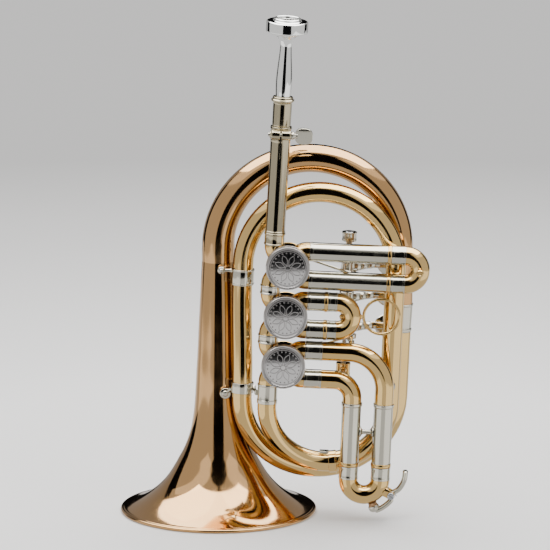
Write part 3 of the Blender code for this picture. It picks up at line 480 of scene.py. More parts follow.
def polished_metal(name, colour, tarnish_and_shade, roughness, wear=0.35):
    """Buffed metal: clouded colour, painted shade in hollows, fine wipe marks in gloss and surface."""
    material = bpy.data.materials.new(name)
    material.use_nodes = True
    nodes = Nodes(material)
    clouds = nodes.span(nodes.noise(28.0, 3.0), 0.0, wear, 0.35, 0.75)
    toned = nodes.mix(clouds, colour, tarnish_and_shade)
    # Painted shade: where ambient occlusion finds hollows and corners, the base colour is darkened
    # towards a dim tarnish tone.
    hollow = nodes.add("ShaderNodeAmbientOcclusion", samples=4)
    hollow.inputs["Distance"].default_value = 0.004
    depth = nodes.span(hollow.outputs["AO"], 0.55, 0.0, 0.15, 0.8)
    shaded = nodes.mix(depth, toned, tuple(part * 0.45 for part in tarnish_and_shade))
    nodes.link(shaded, nodes.shader.inputs["Base Color"])
    nodes.shader.inputs["Metallic"].default_value = 1.0
    wipes = nodes.noise(420.0, 2.0, (1.0, 1.0, 0.06))
    smudges = nodes.span(nodes.noise(55.0, 3.0), roughness * 0.7, roughness * 1.5)
    marks = nodes.span(wipes, 0.0, roughness * 0.5, 0.5, 0.8)
    nodes.link(nodes.total(smudges, marks), nodes.shader.inputs["Roughness"])
    nodes.bump(wipes, 0.05, 0.00003)
    return material


def engraved_metal(name, colour, tarnish_and_shade, roughness):
    """Cap face: polished, with satin lines where the mesh is cut in."""
    material = polished_metal(name, colour, tarnish_and_shade, roughness, 0.2)
    tree = material.node_tree
    shader = tree.nodes["Principled BSDF"]
    cut = tree.nodes.new("ShaderNodeAttribute")
    cut.attribute_name = "cut"
    tone = tree.nodes.new("ShaderNodeMix")
    tone.data_type = "RGBA"
    tone.inputs[7].default_value = (0.30, 0.28, 0.27, 1.0)
    gloss = tree.nodes.new("ShaderNodeMix")
    gloss.inputs[3].default_value = 0.62
    for mix, first, socket in ((tone, 6, "Base Color"), (gloss, 2, "Roughness")):
        source = shader.inputs[socket].links[0].from_socket
        tree.links.new(cut.outputs["Fac"], mix.inputs[0])
        tree.links.new(source, mix.inputs[first])
    tree.links.new(tone.outputs[2], shader.inputs["Base Color"])
    tree.links.new(gloss.outputs[0], shader.inputs["Roughness"])
    return material


def cork_material():
    material = bpy.data.materials.new("cork")
    material.use_nodes = True
    nodes = Nodes(material)
    grain = nodes.noise(900.0, 6.0, roughness=0.7)
    speck = nodes.span(grain, 0.0, 1.0, 0.42, 0.62)
    colour = nodes.mix(speck, (0.30, 0.16, 0.07), (0.62, 0.40, 0.22))
    nodes.link(colour, nodes.shader.inputs["Base Color"])
    nodes.shader.inputs["Roughness"].default_value = 0.88
    nodes.bump(grain, 0.5, 0.0002)
    return material


def floor_material():
    """Pale floor that takes shadows near the object and fades into the surroundings further out."""
    material = bpy.data.materials.new("floor")
    material.use_nodes = True
    nodes = Nodes(material)
    tone = nodes.span(nodes.noise(3.0, 4.0), 0.0, 0.12)
    colour = nodes.mix(tone, (0.72, 0.71, 0.70), (0.64, 0.63, 0.62))
    nodes.link(colour, nodes.shader.inputs["Base Color"])
    nodes.shader.inputs["Roughness"].default_value = 0.6
    glow = nodes.add("ShaderNodeEmission")
    glow.inputs["Color"].default_value = BACKGROUND
    reach = nodes.add("ShaderNodeVectorMath", operation="LENGTH")
    nodes.link(nodes.place, reach.inputs[0])
    fade = nodes.span(reach.outputs["Value"], 0.0, 1.0, 0.35, 1.1)
    blend = nodes.add("ShaderNodeMixShader")
    nodes.link(fade, blend.inputs[0])
    nodes.link(nodes.shader.outputs[0], blend.inputs[1])
    nodes.link(glow.outputs[0], blend.inputs[2])
    nodes.link(blend.outputs[0], nodes.tree.nodes["Material Output"].inputs["Surface"])
    return material


MATERIALS = {
    "rose_brass": polished_metal("rose_brass", (0.56, 0.33, 0.145), (0.49, 0.27, 0.105), 0.075),
    "yellow_brass": polished_metal("yellow_brass", (0.74, 0.50, 0.20), (0.66, 0.42, 0.14), 0.075),
    "nickel_silver": polished_metal("nickel_silver", (0.60, 0.57, 0.48), (0.52, 0.48, 0.38), 0.09),
    "silver_plate": polished_metal("silver_plate", (0.95, 0.95, 0.92), (0.88, 0.87, 0.83), 0.05, 0.2),
    "steel": polished_metal("steel", (0.50, 0.50, 0.51), (0.36, 0.35, 0.34), 0.2),
    "cork": cork_material(),
}
LEAD_METAL = polished_metal("lead_metal", (0.44, 0.38, 0.26), (0.37, 0.32, 0.21), 0.09)
CAP_FACE = engraved_metal("cap_face", (0.72, 0.70, 0.69), (0.64, 0.61, 0.59), 0.09)
CAP_RIM = polished_metal("cap_rim", (0.42, 0.40, 0.39), (0.36, 0.34, 0.32), 0.26)


def show(name, bm, material, body="instrument", place=WRAP, replaces=(), look=None, sharp=40.0):
    """Turn a bmesh in millimetres into a piece that rides on a body of the frame."""
    bm.transform(place)
    bmesh.ops.scale(bm, vec=(MM, MM, MM), verts=bm.verts)
    bmesh.ops.recalc_face_normals(bm, faces=bm.faces)
    mesh = bpy.data.meshes.new(name)
    bm.to_mesh(mesh)
    bm.free()
    mesh.materials.append(look or MATERIALS[material])
    mesh.shade_smooth()
    mesh.set_sharp_from_angle(angle=radians(sharp))
    piece = bpy.data.objects.new(name, mesh)
    bpy.context.scene.collection.objects.link(piece)
    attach(piece, body)
    if replaces:
        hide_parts(*replaces)
    return piece


def carve(piece, shape, place):
    """Cut a shape out of a piece for good."""
    cutter = show(f"{piece.name}_cutter", shape, "steel", place=place)
    cut = piece.modifiers.new("carve", "BOOLEAN")
    cut.operation = "DIFFERENCE"
    cut.object = cutter
    whole = piece.data
    depsgraph = bpy.context.evaluated_depsgraph_get()
    piece.data = bpy.data.meshes.new_from_object(piece.evaluated_get(depsgraph))
    piece.modifiers.clear()
    piece.data.shade_smooth()
    piece.data.set_sharp_from_angle(angle=radians(40.0))
    bpy.data.meshes.remove(whole)
    bpy.data.objects.remove(cutter)


def on_wrap(x, y, z):
    return WRAP @ Matrix.Translation((x, y, z))


# Bell and bows

def make_bell():
    flare = through([
        (10.5, BELL_TOP_Z + 0.1), (11.6, 146.0), (12.6, 126.0), (13.4, 108.0), (14.3, 92.0),
        (15.0, 78.0), (16.0, 66.0), (17.6, 56.0), (19.8, 48.0), (22.6, 41.0), (26.0, 34.6),
        (29.2, 28.8), (32.6, 23.4), (36.2, 18.8), (40.1, 14.8), (44.1, 11.4), (48.1, 8.6),
        (52.0, 6.4), (56.0, 4.6), (59.6, 3.3), (61.4, 2.8),
    ])
    bead_radius = 1.3
    centre = (BELL_RIM_RADIUS - bead_radius, bead_radius)
    bead = oval(centre, (bead_radius, bead_radius), radians(112.0), radians(-138.0), 14)
    inside = []
    for index in reversed(range(len(flare))):
        radius, height = flare[index]
        above, below = flare[max(index - 1, 0)], flare[min(index + 1, len(flare) - 1)]
        along = Vector((below[0] - above[0], below[1] - above[1])).normalized()
        inside.append((radius + along.y * WALL, height - along.x * WALL))
    inside[-1] = (flare[0][0] - WALL, flare[0][1])
    show("bell_skin", lathe(flare + bead + inside, sides=160), "rose_brass", place=BELL_PLACE,
         replaces=["bell"], sharp=60.0)


def make_bell_bow():
    start = Vector((0.0, 0.0, BELL_TOP_Z + 0.12))
    stand = Matrix.Rotation(-WRAP_LEAN, 4, "Y")
    rise = 6.0
    bend = arc(BOW_CENTRE, BOW_RADIUS, BOW_START, 0.0, 84, (0.0, 0.0))
    low = [stand @ (start + UP * height) for height in (0.0, rise * 0.5, rise)]
    corner = through([low[-1], bend[0]], 4)[1:-1]
    points = low + corner + bend
    drop = bend[-1].z - TAIL_FERRULE_Z[1] - JOINT_GAP
    for step in range(1, 13):
        share = step / 12
        x = bend[-1].x + (TAIL_X - bend[-1].x) * ease(share)
        points.append(Vector((x, 0.0, bend[-1].z - drop * share)))
    radii = []
    for share in spread(0.0, 1.0, len(points)):
        radii.append(10.5 - 1.4 * ease(share * 2.0) - 2.3 * ease(share * 2.0 - 1.0))
    show("bell_bow_tube", pipe(points, radii, 56, last=DOWN), "rose_brass", replaces=["bell_bow"])
    low, high = TAIL_FERRULE_Z
    ferrule = turned_ring([
        (7.35, high), (7.35, high - 1.2), (6.95, high - 1.6), (7.0, high - 3.0), (6.7, low + 3.6),
        (6.62, low + 2.6), (7.05, low + 2.0), (7.05, low + 0.9), (6.7, low + 0.5), (6.7, low),
        (5.9, low), (5.9, high),
    ], size=0.3)
    show("tail_ferrule_ring", moved(ferrule, (TAIL_X, 0.0, 0.0)), "nickel_silver",
         replaces=["tail_ferrule"])


def outer_left(height):
    """X and Y of the outer tube's left side, which eases out and forward on its way down."""
    share = ease((UPPER_JOINT_Z - height) / (UPPER_JOINT_Z - OUTER_BOW_CENTRE[1]))
    end_x = OUTER_BOW_CENTRE[0] - OUTER_BOW_RADIUS
    return INNER_LEFT_X + (end_x - INNER_LEFT_X) * share, INNER_Y - OUTER_BOW_STEP * share


def make_inner_bows():
    centre, half = BOTTOM_BOW_CENTRE, BOTTOM_BOW_RADIUS
    points = [Vector((EXIT_X, PORT_Y, EXIT_FERRULE_Z[0] - JOINT_GAP))]
    points += arc(centre, half, pi, BOTTOM_FERRULE_ANGLE, 48, (PORT_Y, BOTTOM_FERRULE_Y))
    radii = spread(KNUCKLE_RADIUS, MAIN_RADIUS, len(points))
    tube = pipe(points, radii, first=DOWN, last=BOTTOM_FERRULE_AXIS)
    show("inner_bottom_bow_tube", tube, "yellow_brass", replaces=["inner_bottom_bow"])

    top_radius = (INNER_RIGHT_X - INNER_LEFT_X) / 2
    top_centre = (INNER_LEFT_X + top_radius, INNER_BOW_Z)
    turn = BOTTOM_FERRULE_ANGLE + JOINT_GAP / half
    level = radians(296.0)
    points = arc(centre, half, turn, level, 8, (BOTTOM_FERRULE_Y, INNER_Y))[:-1]
    points += arc(centre, half, level, tau, 32, (INNER_Y, INNER_Y))[:-1]
    points += run((INNER_RIGHT_X, INNER_Y, centre[1]), (INNER_RIGHT_X, INNER_Y, INNER_BOW_Z), 8)
    points += arc(top_centre, top_radius, 0.0, pi, 84, (INNER_Y, INNER_Y))
    points.append(Vector((INNER_LEFT_X, INNER_Y, UPPER_JOINT_Z + JOINT_GAP)))
    radii = spread(MAIN_RADIUS, MAIN_RADIUS + 0.25, len(points))
    show("inner_main_bow_tube", pipe(points, radii, first=BOTTOM_FERRULE_AXIS), "yellow_brass",
         replaces=["inner_main_bow"])


def make_outer_bow():
    bow_z = OUTER_BOW_CENTRE[1]
    down = [Vector((*outer_left(height), height)) for height in spread(UPPER_JOINT_Z, bow_z, 17)]
    crossing = radians(286.0)
    end = (TAIL_X, 0.0, TAIL_FERRULE_Z[0] - JOINT_GAP)
    points = down[:-1]
    points += arc(OUTER_BOW_CENTRE, OUTER_BOW_RADIUS, pi, crossing, 54, (down[-1].y, 0.0))[:-1]
    points += arc(OUTER_BOW_CENTRE, OUTER_BOW_RADIUS, crossing, tau, 36, (0.0, 0.0))[:-1]
    points += run((TAIL_X, 0.0, bow_z), end, 6) + [Vector(end)]
    radii = spread(MAIN_RADIUS + 0.05, MAIN_RADIUS + 0.2, len(points))
    show("outer_bottom_bow_tube", pipe(points, radii, first=DOWN), "yellow_brass",
         replaces=["outer_bottom_bow"])


def make_wrap_fittings():
    middle = on_circle(BOTTOM_BOW_CENTRE, BOTTOM_BOW_RADIUS, BOTTOM_FERRULE_ANGLE, BOTTOM_FERRULE_Y)
    band = merged(band_solid(-2.6, 2.6, MAIN_RADIUS + 0.75, MAIN_RADIUS + 0.04),
                  band_solid(1.5, 2.3, MAIN_RADIUS + 1.0, MAIN_RADIUS + 0.2, size=0.2))
    tilt = atan2(BOTTOM_FERRULE_AXIS[0], BOTTOM_FERRULE_AXIS[2])
    band = moved(turned(band, tilt, "Y"), middle)
    show("bottom_bow_band", band, "yellow_brass", replaces=["bottom_bow_ferrule"])
    lug = slab((-3.0, -2.6, MAIN_RADIUS - 0.7), (3.0, 2.6, MAIN_RADIUS + 1.0), 0.4)
    show("bow_lug", moved(lug, BOW_LUG), "nickel_silver")
    low, high = EXIT_FERRULE_Z
    exit_band = turned_ring([
        (6.6, high), (6.6, high - 1.0), (6.35, high - 1.3), (6.35, low + 2.6), (6.6, low + 2.3),
        (6.6, low), (5.3, low), (5.3, high),
    ])
    show("exit_ferrule_ring", moved(exit_band, (EXIT_X, PORT_Y, 0.0)), "nickel_silver",
         replaces=["exit_ferrule"])


def make_bell_braces():
    sleeve = band_solid(-5.5, 5.0, MAIN_RADIUS + 0.95, MAIN_RADIUS + 0.3)
    for edge in (-4.6, 4.1):
        lip = band_solid(edge - 0.45, edge + 0.45, MAIN_RADIUS + 1.2, MAIN_RADIUS + 0.5, size=0.2)
        sleeve = merged(sleeve, lip)
    upper = Vector((INNER_LEFT_X, INNER_Y, UPPER_JOINT_Z))
    ball = Vector((-5.2, INNER_Y - 0.4, upper.z + 3.2))
    foot = upper + Vector((-MAIN_RADIUS - 0.8, 0.0, 3.2))
    arm = sweep([foot, foot.lerp(ball, 0.25), ball], [1.7, 1.1, 0.95], 0.0, 20)
    knob = turned_solid([
        (0.0, -2.9), (0.9, -2.8), (1.2, -2.0), (2.5, -1.3), (2.6, 0.9), (1.5, 1.9), (0.0, 2.0),
    ], "Y", 0.6, 32)
    show("upper_bell_brace_arm", merged(moved(sleeve, upper), arm, moved(knob, ball)), "nickel_silver",
         replaces=["upper_bell_brace"])

    lower = Vector((*outer_left(LOWER_BRACE_Z), LOWER_BRACE_Z))
    sleeve = band_solid(-3.4, 3.4, MAIN_RADIUS + 0.95, MAIN_RADIUS + 0.25)
    foot_centre = Vector((0.9, INNER_Y - 3.3, lower.z - 5.0))
    foot = turned_solid([
        (0.0, -1.3), (1.5, -1.3), (1.9, -0.7), (3.4, -0.6), (3.7, 0.2), (3.2, 1.0), (0.0, 1.0),
    ], "Y", 0.25, 32)
    arm_start = lower + Vector((-MAIN_RADIUS - 0.7, 0.0, -1.5))
    arm = sweep([arm_start, arm_start.lerp(foot_centre, 0.4), foot_centre], [1.5, 1.0, 0.9], 0.0, 18)
    rod_start = lower + Vector((MAIN_RADIUS + 0.6, -1.0, 0.0))
    rod_end = Vector((EXIT_X - 6.7, PORT_Y + 0.2, lower.z - 1.0))
    stations = [rod_start.lerp(rod_end, share) for share in (0.0, 0.2, 0.8, 1.0)]
    rod = sweep(stations, [2.0, 1.1, 1.1, 1.9], 0.0, 20)
    show("lower_bell_brace_arm", merged(moved(sleeve, lower), arm, moved(foot, foot_centre), rod),
         "nickel_silver", replaces=["lower_bell_brace"])


# Leadpipe and mouthpiece

def make_leadpipe():
    ferrule = turned_ring([
        (6.5, 8.3), (6.85, 8.0), (6.85, 7.0), (6.4, 6.7), (6.4, 1.4), (6.7, 1.1), (6.7, 0.25),
        (5.5, 0.25), (5.5, 8.3),
    ], size=0.2)
    show("leadpipe_ferrule_ring", ferrule, "nickel_silver", place=LEAD, replaces=["leadpipe_ferrule"],
         look=LEAD_METAL)

    top = SLEEVE_TOP
    sleeve = turned_ring([
        (6.75, top), (6.95, top - 0.6), (6.95, top - 1.6), (6.6, top - 2.0), (6.5, top - 9.0),
        (6.35, top - 10.0), (6.3, 9.6), (6.6, 9.4), (6.6, 8.6), (5.6, 8.6), (5.6, top),
    ], size=0.2, sides=72)
    sleeve = show("leadpipe_sleeve_tube", sleeve, "nickel_silver", place=LEAD,
                  replaces=["leadpipe_sleeve"], look=LEAD_METAL)
    carve(sleeve, slab((-0.45, -9.0, CLAMP_HEIGHT - 17.0), (0.45, -3.0, top + 2.0), 0.1), LEAD)

    right = turned_solid([
        (0.0, 0.5), (3.1, 0.5), (3.2, 1.2), (3.2, 5.9), (2.7, 6.5), (0.0, 6.5),
    ], "X", 0.3, 36)
    left = turned_solid([
        (0.0, -7.2), (2.0, -7.2), (2.4, -6.4), (3.2, -5.8), (3.2, -1.2), (3.1, -0.5), (0.0, -0.5),
    ], "X", 0.3, 36)
    barrels = moved(merged(right, left), (0.0, CLAMP_Y, CLAMP_HEIGHT))
    low, high = CLAMP_HEIGHT - 2.6, CLAMP_HEIGHT + 2.6
    webs = [slab((x, CLAMP_Y, low), (x + 3.85, -5.2, high)) for x in (0.75, -4.6)]
    show("clamp_lugs", merged(barrels, *webs), "nickel_silver", place=LEAD, look=LEAD_METAL)

    collar = turned_solid([
        (0.0, 6.5), (2.2, 6.6), (2.5, 7.2), (2.5, 8.0), (1.9, 8.6), (1.6, 9.6), (0.0, 9.6),
    ], "X", 0.3, 32)
    outline = []
    squareness = 2.6
    for angle in spread(0.0, tau, 49)[:-1]:
        across, upward = cos(angle), sin(angle)
        reach = (abs(across) ** squareness + abs(upward) ** squareness) ** (-1 / squareness)
        outline.append((14.7 + 5.7 * reach * across, 5.5 * reach * upward))
    spade = turned(plate(outline, -0.95, 0.95, 0.35), SPADE_TILT, "X")
    neck = sweep([(8.8, 0, 0), (9.6, 0, 0), (10.6, 0, 0)], [1.7, 1.5, 1.7], 0.0, 24)
    shaft = sweep([(-8.2, 0, 0), (6.8, 0, 0)], 1.2, 0.0, 24)
    show("clamp_thumb_screw", merged(collar, spade, neck, shaft), "nickel_silver", "clamp_screw",
         Matrix.Translation(CLAMP_AXIS) @ LEAD_TURN, ["clamp_screw"])

    foot, top = 26.0, RECEIVER_TOP
    receiver = turned_ring([
        (5.5, foot), (5.5, SLEEVE_TOP - 2.0), (5.95, SLEEVE_TOP + 1.2), (6.05, top - 4.4),
        (6.3, top - 3.4), (7.35, top - 2.9), (7.45, top - 1.9), (6.6, top - 1.4), (6.5, top - 0.3),
        (6.2, top), (5.05, top), (4.5, top - 24.0), (4.5, foot),
    ], size=0.3, sides=72)
    show("receiver_tube", receiver, "nickel_silver", "receiver", LEAD, ["mouthpiece_receiver"],
         LEAD_METAL)


def make_mouthpiece():
    foot, mouth, top = RECEIVER_TOP - 21.0, RECEIVER_TOP, MOUTHPIECE_TOP
    shank = through([
        (4.15, foot), (4.7, mouth - 2.0), (5.0, mouth + 4.0), (5.15, mouth + 11.0), (4.7, mouth + 19.0),
        (4.1, top - 25.0), (3.7, top - 18.8),
    ])
    cup = soften([
        (3.75, top - 17.8), (4.0, top - 16.4), (4.5, top - 14.5), (5.2, top - 13.0), (6.6, top - 11.8),
        (8.2, top - 11.2), (9.7, top - 10.8), (10.0, top - 10.0), (12.9, top - 9.4), (13.4, top - 8.7),
        (13.4, top - 2.6), (12.8, top - 1.85), (9.15, top - 1.65), (8.8, top - 0.5), (8.3, top),
        (7.8, top - 0.3), (7.4, top - 1.4), (7.2, top - 3.4), (6.6, top - 6.6), (4.8, top - 9.8),
        (2.2, top - 11.6), (1.9, top - 13.5), (2.2, top - 24.0), (3.4, foot),
    ], 0.4, closed=False)
    show("mouthpiece_body", lathe(shank + cup, sides=96), "silver_plate", "mouthpiece", LEAD,
         ["mouthpiece"])


# Valves

def knuckle_path(side, height_sign, along, offset, end):
    """Centreline that leaves a valve at 45 degrees, then bends to run along X or Z."""
    diagonal = sqrt(0.5)
    start = (offset - KNUCKLE_BEND * (1.0 - diagonal)) / diagonal
    root = 9.5
    path = [(root * diagonal, root * diagonal)]
    steps = 10
    for step in range(steps + 1):
        heading = radians(45.0) * (1.0 - step / steps)
        path.append((
            start * diagonal + KNUCKLE_BEND * (diagonal - sin(heading)),
            start * diagonal + KNUCKLE_BEND * (cos(heading) - diagonal),
        ))
    path.append((end, path[-1][1]))
    if along == "Z":
        path = [(b, a) for a, b in path]
    return [Vector((side * x, 0.0, height_sign * z)) for x, z in path]


def valve_knuckles(number):
    last = len(VALVES) - 1
    half_pitch = VALVE_PITCH / 2 - 3.0
    upper_end = LEADPIPE_Z - VALVE_1_Z if number == 0 else half_pitch
    lower_end = VALVES[last].z - EXIT_FERRULE_Z[1] - JOINT_GAP if number == last else half_pitch
    upper_offset = SLIDE_OFFSET if number == 0 else LINK_OFFSET
    lower_offset = SLIDE_OFFSET if number == last else LINK_OFFSET
    return [
        knuckle_path(1, 1, "X", SLIDE_OFFSET, KNUCKLE_END),
        knuckle_path(1, -1, "X", SLIDE_OFFSET, KNUCKLE_END),
        knuckle_path(-1, 1, "Z", upper_offset, upper_end),
        knuckle_path(-1, -1, "Z", lower_offset, lower_end),
    ]


def rosette_cut(radius, angle):
    """How deep the ornament is cut, 0 to 1: two rings, a row of beads and a wreath of petals."""
    half_line, hub, tip, beads, rim = 0.2, 1.7, 9.0, 10.1, 11.3
    nearest = min(abs(radius - rim), abs(radius - hub))
    petal = tau / PETALS
    turn = (angle / petal) % 1.0 - 0.5
    along = (radius - hub) / (tip - hub)
    if 0.0 < along < 1.0:
        edge = 0.38 * sin(pi * along ** 0.85)
        nearest = min(nearest, abs(abs(turn) - edge) * petal * radius)
    bead = tau / (PETALS * 3)
    across = ((angle / bead) % 1.0 - 0.5) * bead * radius
    nearest = min(nearest, max(hypot(across, radius - beads) - 0.3, 0.0))
    return min(max(1.6 - 1.6 * nearest / half_line, 0.0), 1.0)


def cap_face_mesh(place):
    """Round face of a cap, slightly domed, with the rosette cut into it, as a polar grid."""
    rings, sides = 96, 320
    cut_depth, dome = 0.035, 0.5
    bm = bmesh.new()
    layer = bm.verts.layers.float.new("cut")
    centre = bm.verts.new((0.0, -dome, 0.0))
    previous = None
    for ring in range(1, rings + 1):
        radius = CAP_FACE_RADIUS * ring / rings
        rise = dome * (1.0 - (ring / rings) ** 2)
        current = []
        for side in range(sides):
            angle = tau * side / sides
            cut = rosette_cut(radius, angle)
            vert = bm.verts.new((radius * cos(angle), cut * cut_depth - rise, radius * sin(angle)))
            vert[layer] = cut
            current.append(vert)
        if previous:
            bridge(bm, previous, current)
        else:
            for side in range(sides):
                bm.faces.new((centre, current[(side + 1) % sides], current[side]))
        previous = current
    back = [bm.verts.new((vert.co.x, 0.9, vert.co.z)) for vert in previous]
    bridge(bm, previous, back)
    bm.faces.new(back)
    bm.transform(place)
    return bm


def make_casing(label, number, place):
    barrel = turned_solid([
        (0.0, 9.0), (7.8, 9.0), (8.2, CASING_BACK_Y), (11.6, CASING_BACK_Y), (12.2, 9.1), (13.1, 8.8),
        (13.25, 7.6),
        (12.95, 7.0), (12.95, -5.2), (13.25, -5.6), (13.25, -6.4), (12.9, -6.6), (12.9, -8.7),
        (10.8, -8.7), (10.8, -7.0), (0.0, -7.0),
    ], "Y", 0.3, 72)
    show(f"{label}_barrel", barrel, "yellow_brass", place=place, replaces=[f"{label}_casing"])
    for index, path in enumerate(valve_knuckles(number)):
        outward = (path[-1] - path[-2]).normalized()
        tube = sweep(path, KNUCKLE_RADIUS, 5.1, 40, last=outward)
        show(f"{label}_knuckle_{index + 1}", tube, "yellow_brass", place=place)


def make_cap(label, place):
    cap = turned_ring([
        (CAP_FACE_RADIUS - 0.05, -11.25), (12.25, -11.3), (12.55, -11.95), (13.3, -12.0), (13.95, -11.7),
        (CAP_RADIUS, -11.0), (CAP_RADIUS, -9.6), (13.9, -9.2), (13.9, -7.6), (CAP_RADIUS, -7.2),
        (CAP_RADIUS, -6.6), (13.35, -6.55), (13.35, -9.4), (11.2, -9.6), (11.2, -10.6),
    ], "Y", 0.3, 96)
    show(f"{label}_cap_rim", cap, "nickel_silver", place=place, replaces=[f"{label}_cap"], look=CAP_RIM)
    face = cap_face_mesh(Matrix.Translation((0.0, -11.35, 0.0)))
    show(f"{label}_cap_face", face, "nickel_silver", place=place, look=CAP_FACE, sharp=75.0)


def make_stops(label, place):
    for side, word in ((-1, "left"), (1, "right")):
        at = on_circle((0.0, 0.0), STOP_POST_REACH, STOP_MIDDLE + side * STOP_SPREAD, 0.0)
        post = turned_solid([
            (0.0, CASING_BACK_Y), (2.0, CASING_BACK_Y), (2.0, 9.3), (1.55, 9.5), (1.55, 11.9),
            (0.0, 12.0),
        ], "Y", 0.2, 28)
        bumper = band_solid(9.55, 11.5, 1.85, 1.5, "Y", 0.15, 28)
        show(f"{label}_{word}_post", moved(post, at), "yellow_brass", place=place)
        show(f"{label}_{word}_bumper", moved(bumper, at), "cork", place=place)


def make_stop_arm(label, body, place):
    """Stop arm with its ball pin, on the rotor's spindle, and the screw that holds it."""
    spindle = turned_solid([
        (0.0, 9.05), (2.25, 9.05), (2.25, 12.0), (3.05, 12.1), (3.05, 13.0), (2.6, 13.5), (0.0, 13.6),
    ], "Y", 0.2, 36)
    slot = slab((-2.9, 13.05, -0.3), (2.9, 14.2, 0.3), 0.05)
    screw = show(f"{label}_spindle_screw", spindle, "steel", body, place)
    carve(screw, turned(slot, STOP_ARM_REST, "Y"), place)

    arm = turned(merged(
        plate(capsule(STOP_ARM_LENGTH, 3.5, 2.1), 9.5, 11.7, 0.35),
        slab((-1.4, 9.5, -8.5), (1.4, 11.7, -2.0), 0.4),
    ), STOP_ARM_REST, "Y")
    pin_at = on_circle((0.0, 0.0), STOP_ARM_LENGTH, pi / 2 - STOP_ARM_REST, 0.0)
    pin = [(0.0, 11.4), (1.5, 11.4), (1.5, 12.1), (0.95, 12.5), (0.95, 13.3)]
    pin += oval((0.0, 15.0), (1.8, 1.8), radians(-58.0), radians(90.0), 8)
    arm = merged(arm, moved(lathe(pin, "Y", 28), pin_at))
    show(f"{label}_stop_lever", arm, "nickel_silver", body, place, [f"{label}_stop_arm"])


def make_knuckle_ferrules():
    half = 2.85
    for name, number in (("upper_knuckle_ferrule", 0), ("lower_knuckle_ferrule", 1)):
        ferrule = turned_ring([
            (6.6, half), (6.6, 2.0), (6.3, 1.7), (6.3, -1.7), (6.6, -2.0), (6.6, -half),
            (5.2, -half), (5.2, half),
        ], size=0.2)
        place = (VALVE_X - LINK_OFFSET, PORT_Y, VALVES[number].z - VALVE_PITCH / 2)
        show(f"{name}_ring", moved(ferrule, place), "nickel_silver", replaces=[name])


# Keys

def make_connecting_rod(number):
    label = f"connecting_rod_{number + 1}"
    pin = ROD_PINS[number]
    crank = Vector((CRANK_LENGTH * sin(CRANK_REST), -CRANK_LENGTH * cos(CRANK_REST), 0.6))
    eye_at = LEVERS[number] + crank - pin
    along = eye_at.normalized()
    socket = lathe([(3.1, -1.3), (3.3, 0.0), (3.1, 1.3), (2.2, 1.45), (2.05, 0.0), (2.2, -1.45)], "Y", 40)
    stations = [along * reach for reach in (2.7, 4.2, 6.0)]
    stations += [eye_at - along * reach for reach in (6.5, 4.4, 2.4)]
    shaft = sweep(stations, [1.5, 1.3, 0.85, 0.85, 1.3, 1.4], 0.0, 20)
    nut = sweep([along * reach for reach in (6.2, 6.5, 7.9, 8.2)], [1.2, 1.5, 1.5, 1.2], 0.0, 6)
    eye = moved(band_solid(-1.4, 1.4, 2.9, 1.3, "Z", 0.3, 40), eye_at)
    show(f"{label}_link", merged(socket, shaft, nut, eye), "nickel_silver", f"rod_{number + 1}",
         on_wrap(*pin), [label])


def finger_plate(low, high):
    """Oval plate with a flat back, a rounded edge and a slightly hollow front."""
    loops = []
    for share, depth in (
        (0.9, low), (0.97, low + 0.1), (1.0, (low + high) / 2), (0.975, high - 0.12), (0.93, high),
        (0.8, high - 0.1), (0.55, high - 0.3), (0.25, high - 0.42),
    ):
        radii = [radius * share for radius in PLATE_RADII]
        outline = oval((PLATE_MIDDLE, 0.0), radii, 0.0, tau, 72)[:-1]
        loops.append([(x, depth, z) for x, z in outline])
    return loft(loops)


def make_lever(number, pivot):
    label = f"lever_{number + 1}"
    place = on_wrap(*pivot)
    half, waist = 4.5, 4.35
    hub = turned_ring([
        (4.4, half), (HUB_RADIUS, half - 0.5), (HUB_RADIUS, half - 1.3), (waist, half - 1.6),
        (waist, -half + 1.6), (HUB_RADIUS, -half + 1.3), (HUB_RADIUS, -half + 0.5), (4.4, -half),
        (AXLE_BORE, -half), (AXLE_BORE, half),
    ], "Z", 0.2, 56)
    crank = plate(capsule(CRANK_LENGTH, 2.4, 1.9), -0.8, 0.8)
    crank = moved(turned(crank, radians(90.0), "X"), (0.0, 0.0, -3.4))
    pin = turned_solid([
        (0.0, -4.9), (1.7, -4.9), (1.7, -4.3), (0.95, -4.0), (0.95, 3.2), (1.9, 3.3), (2.1, 3.8),
        (1.9, 4.6), (0.0, 5.0),
    ], "Z", 0.2, 28)
    crank = turned(merged(crank, moved(pin, (0.0, -CRANK_LENGTH, 0.0))), CRANK_REST, "Z")
    curve = through([
        (3.2, 1.4, 0.0), (7.0, 4.2, 0.0), (11.5, 8.9, 0.0), (16.5, 12.0, 0.0),
        (21.0, PLATE_BACK - 0.7, 0.0), (27.0, PLATE_BACK - 0.5, 0.0),
    ], 8)
    bar = strap(curve, spread(3.1, 2.2, len(curve)), 1.15)
    for index in (13, 21):
        before, middle, after = (Vector(point) for point in curve[index - 1:index + 2])
        heading = (after - before).normalized()
        stations = [middle + heading * step for step in (-2.9, -2.6, -1.9, 0.0, 1.9, 2.6, 2.9)]
        bar = merged(bar, sweep(stations, [1.4, 2.1, 2.6, 2.75, 2.6, 2.1, 1.4], 0.0, 28))
    touch = finger_plate(PLATE_BACK - 0.5, PLATE_BACK + 0.85)
    show(f"{label}_key", merged(hub, crank, bar, touch), "nickel_silver", label, place, [label])

    turns, wire, per_turn = 4.5, 0.4, 28
    low, high = half + 0.75, half + 8.5
    count = round(turns * per_turn)
    coil = [(4.6, 3.4, low + 0.1)]
    for step in range(count + 1):
        angle = tau * step / per_turn + 0.8
        coil.append((3.0 * cos(angle), 3.0 * sin(angle), low + (high - low) * step / count))
    show(f"{label}_coil", sweep(coil, wire, 0.0, 12), "steel", place=place, replaces=[f"{label}_spring"])


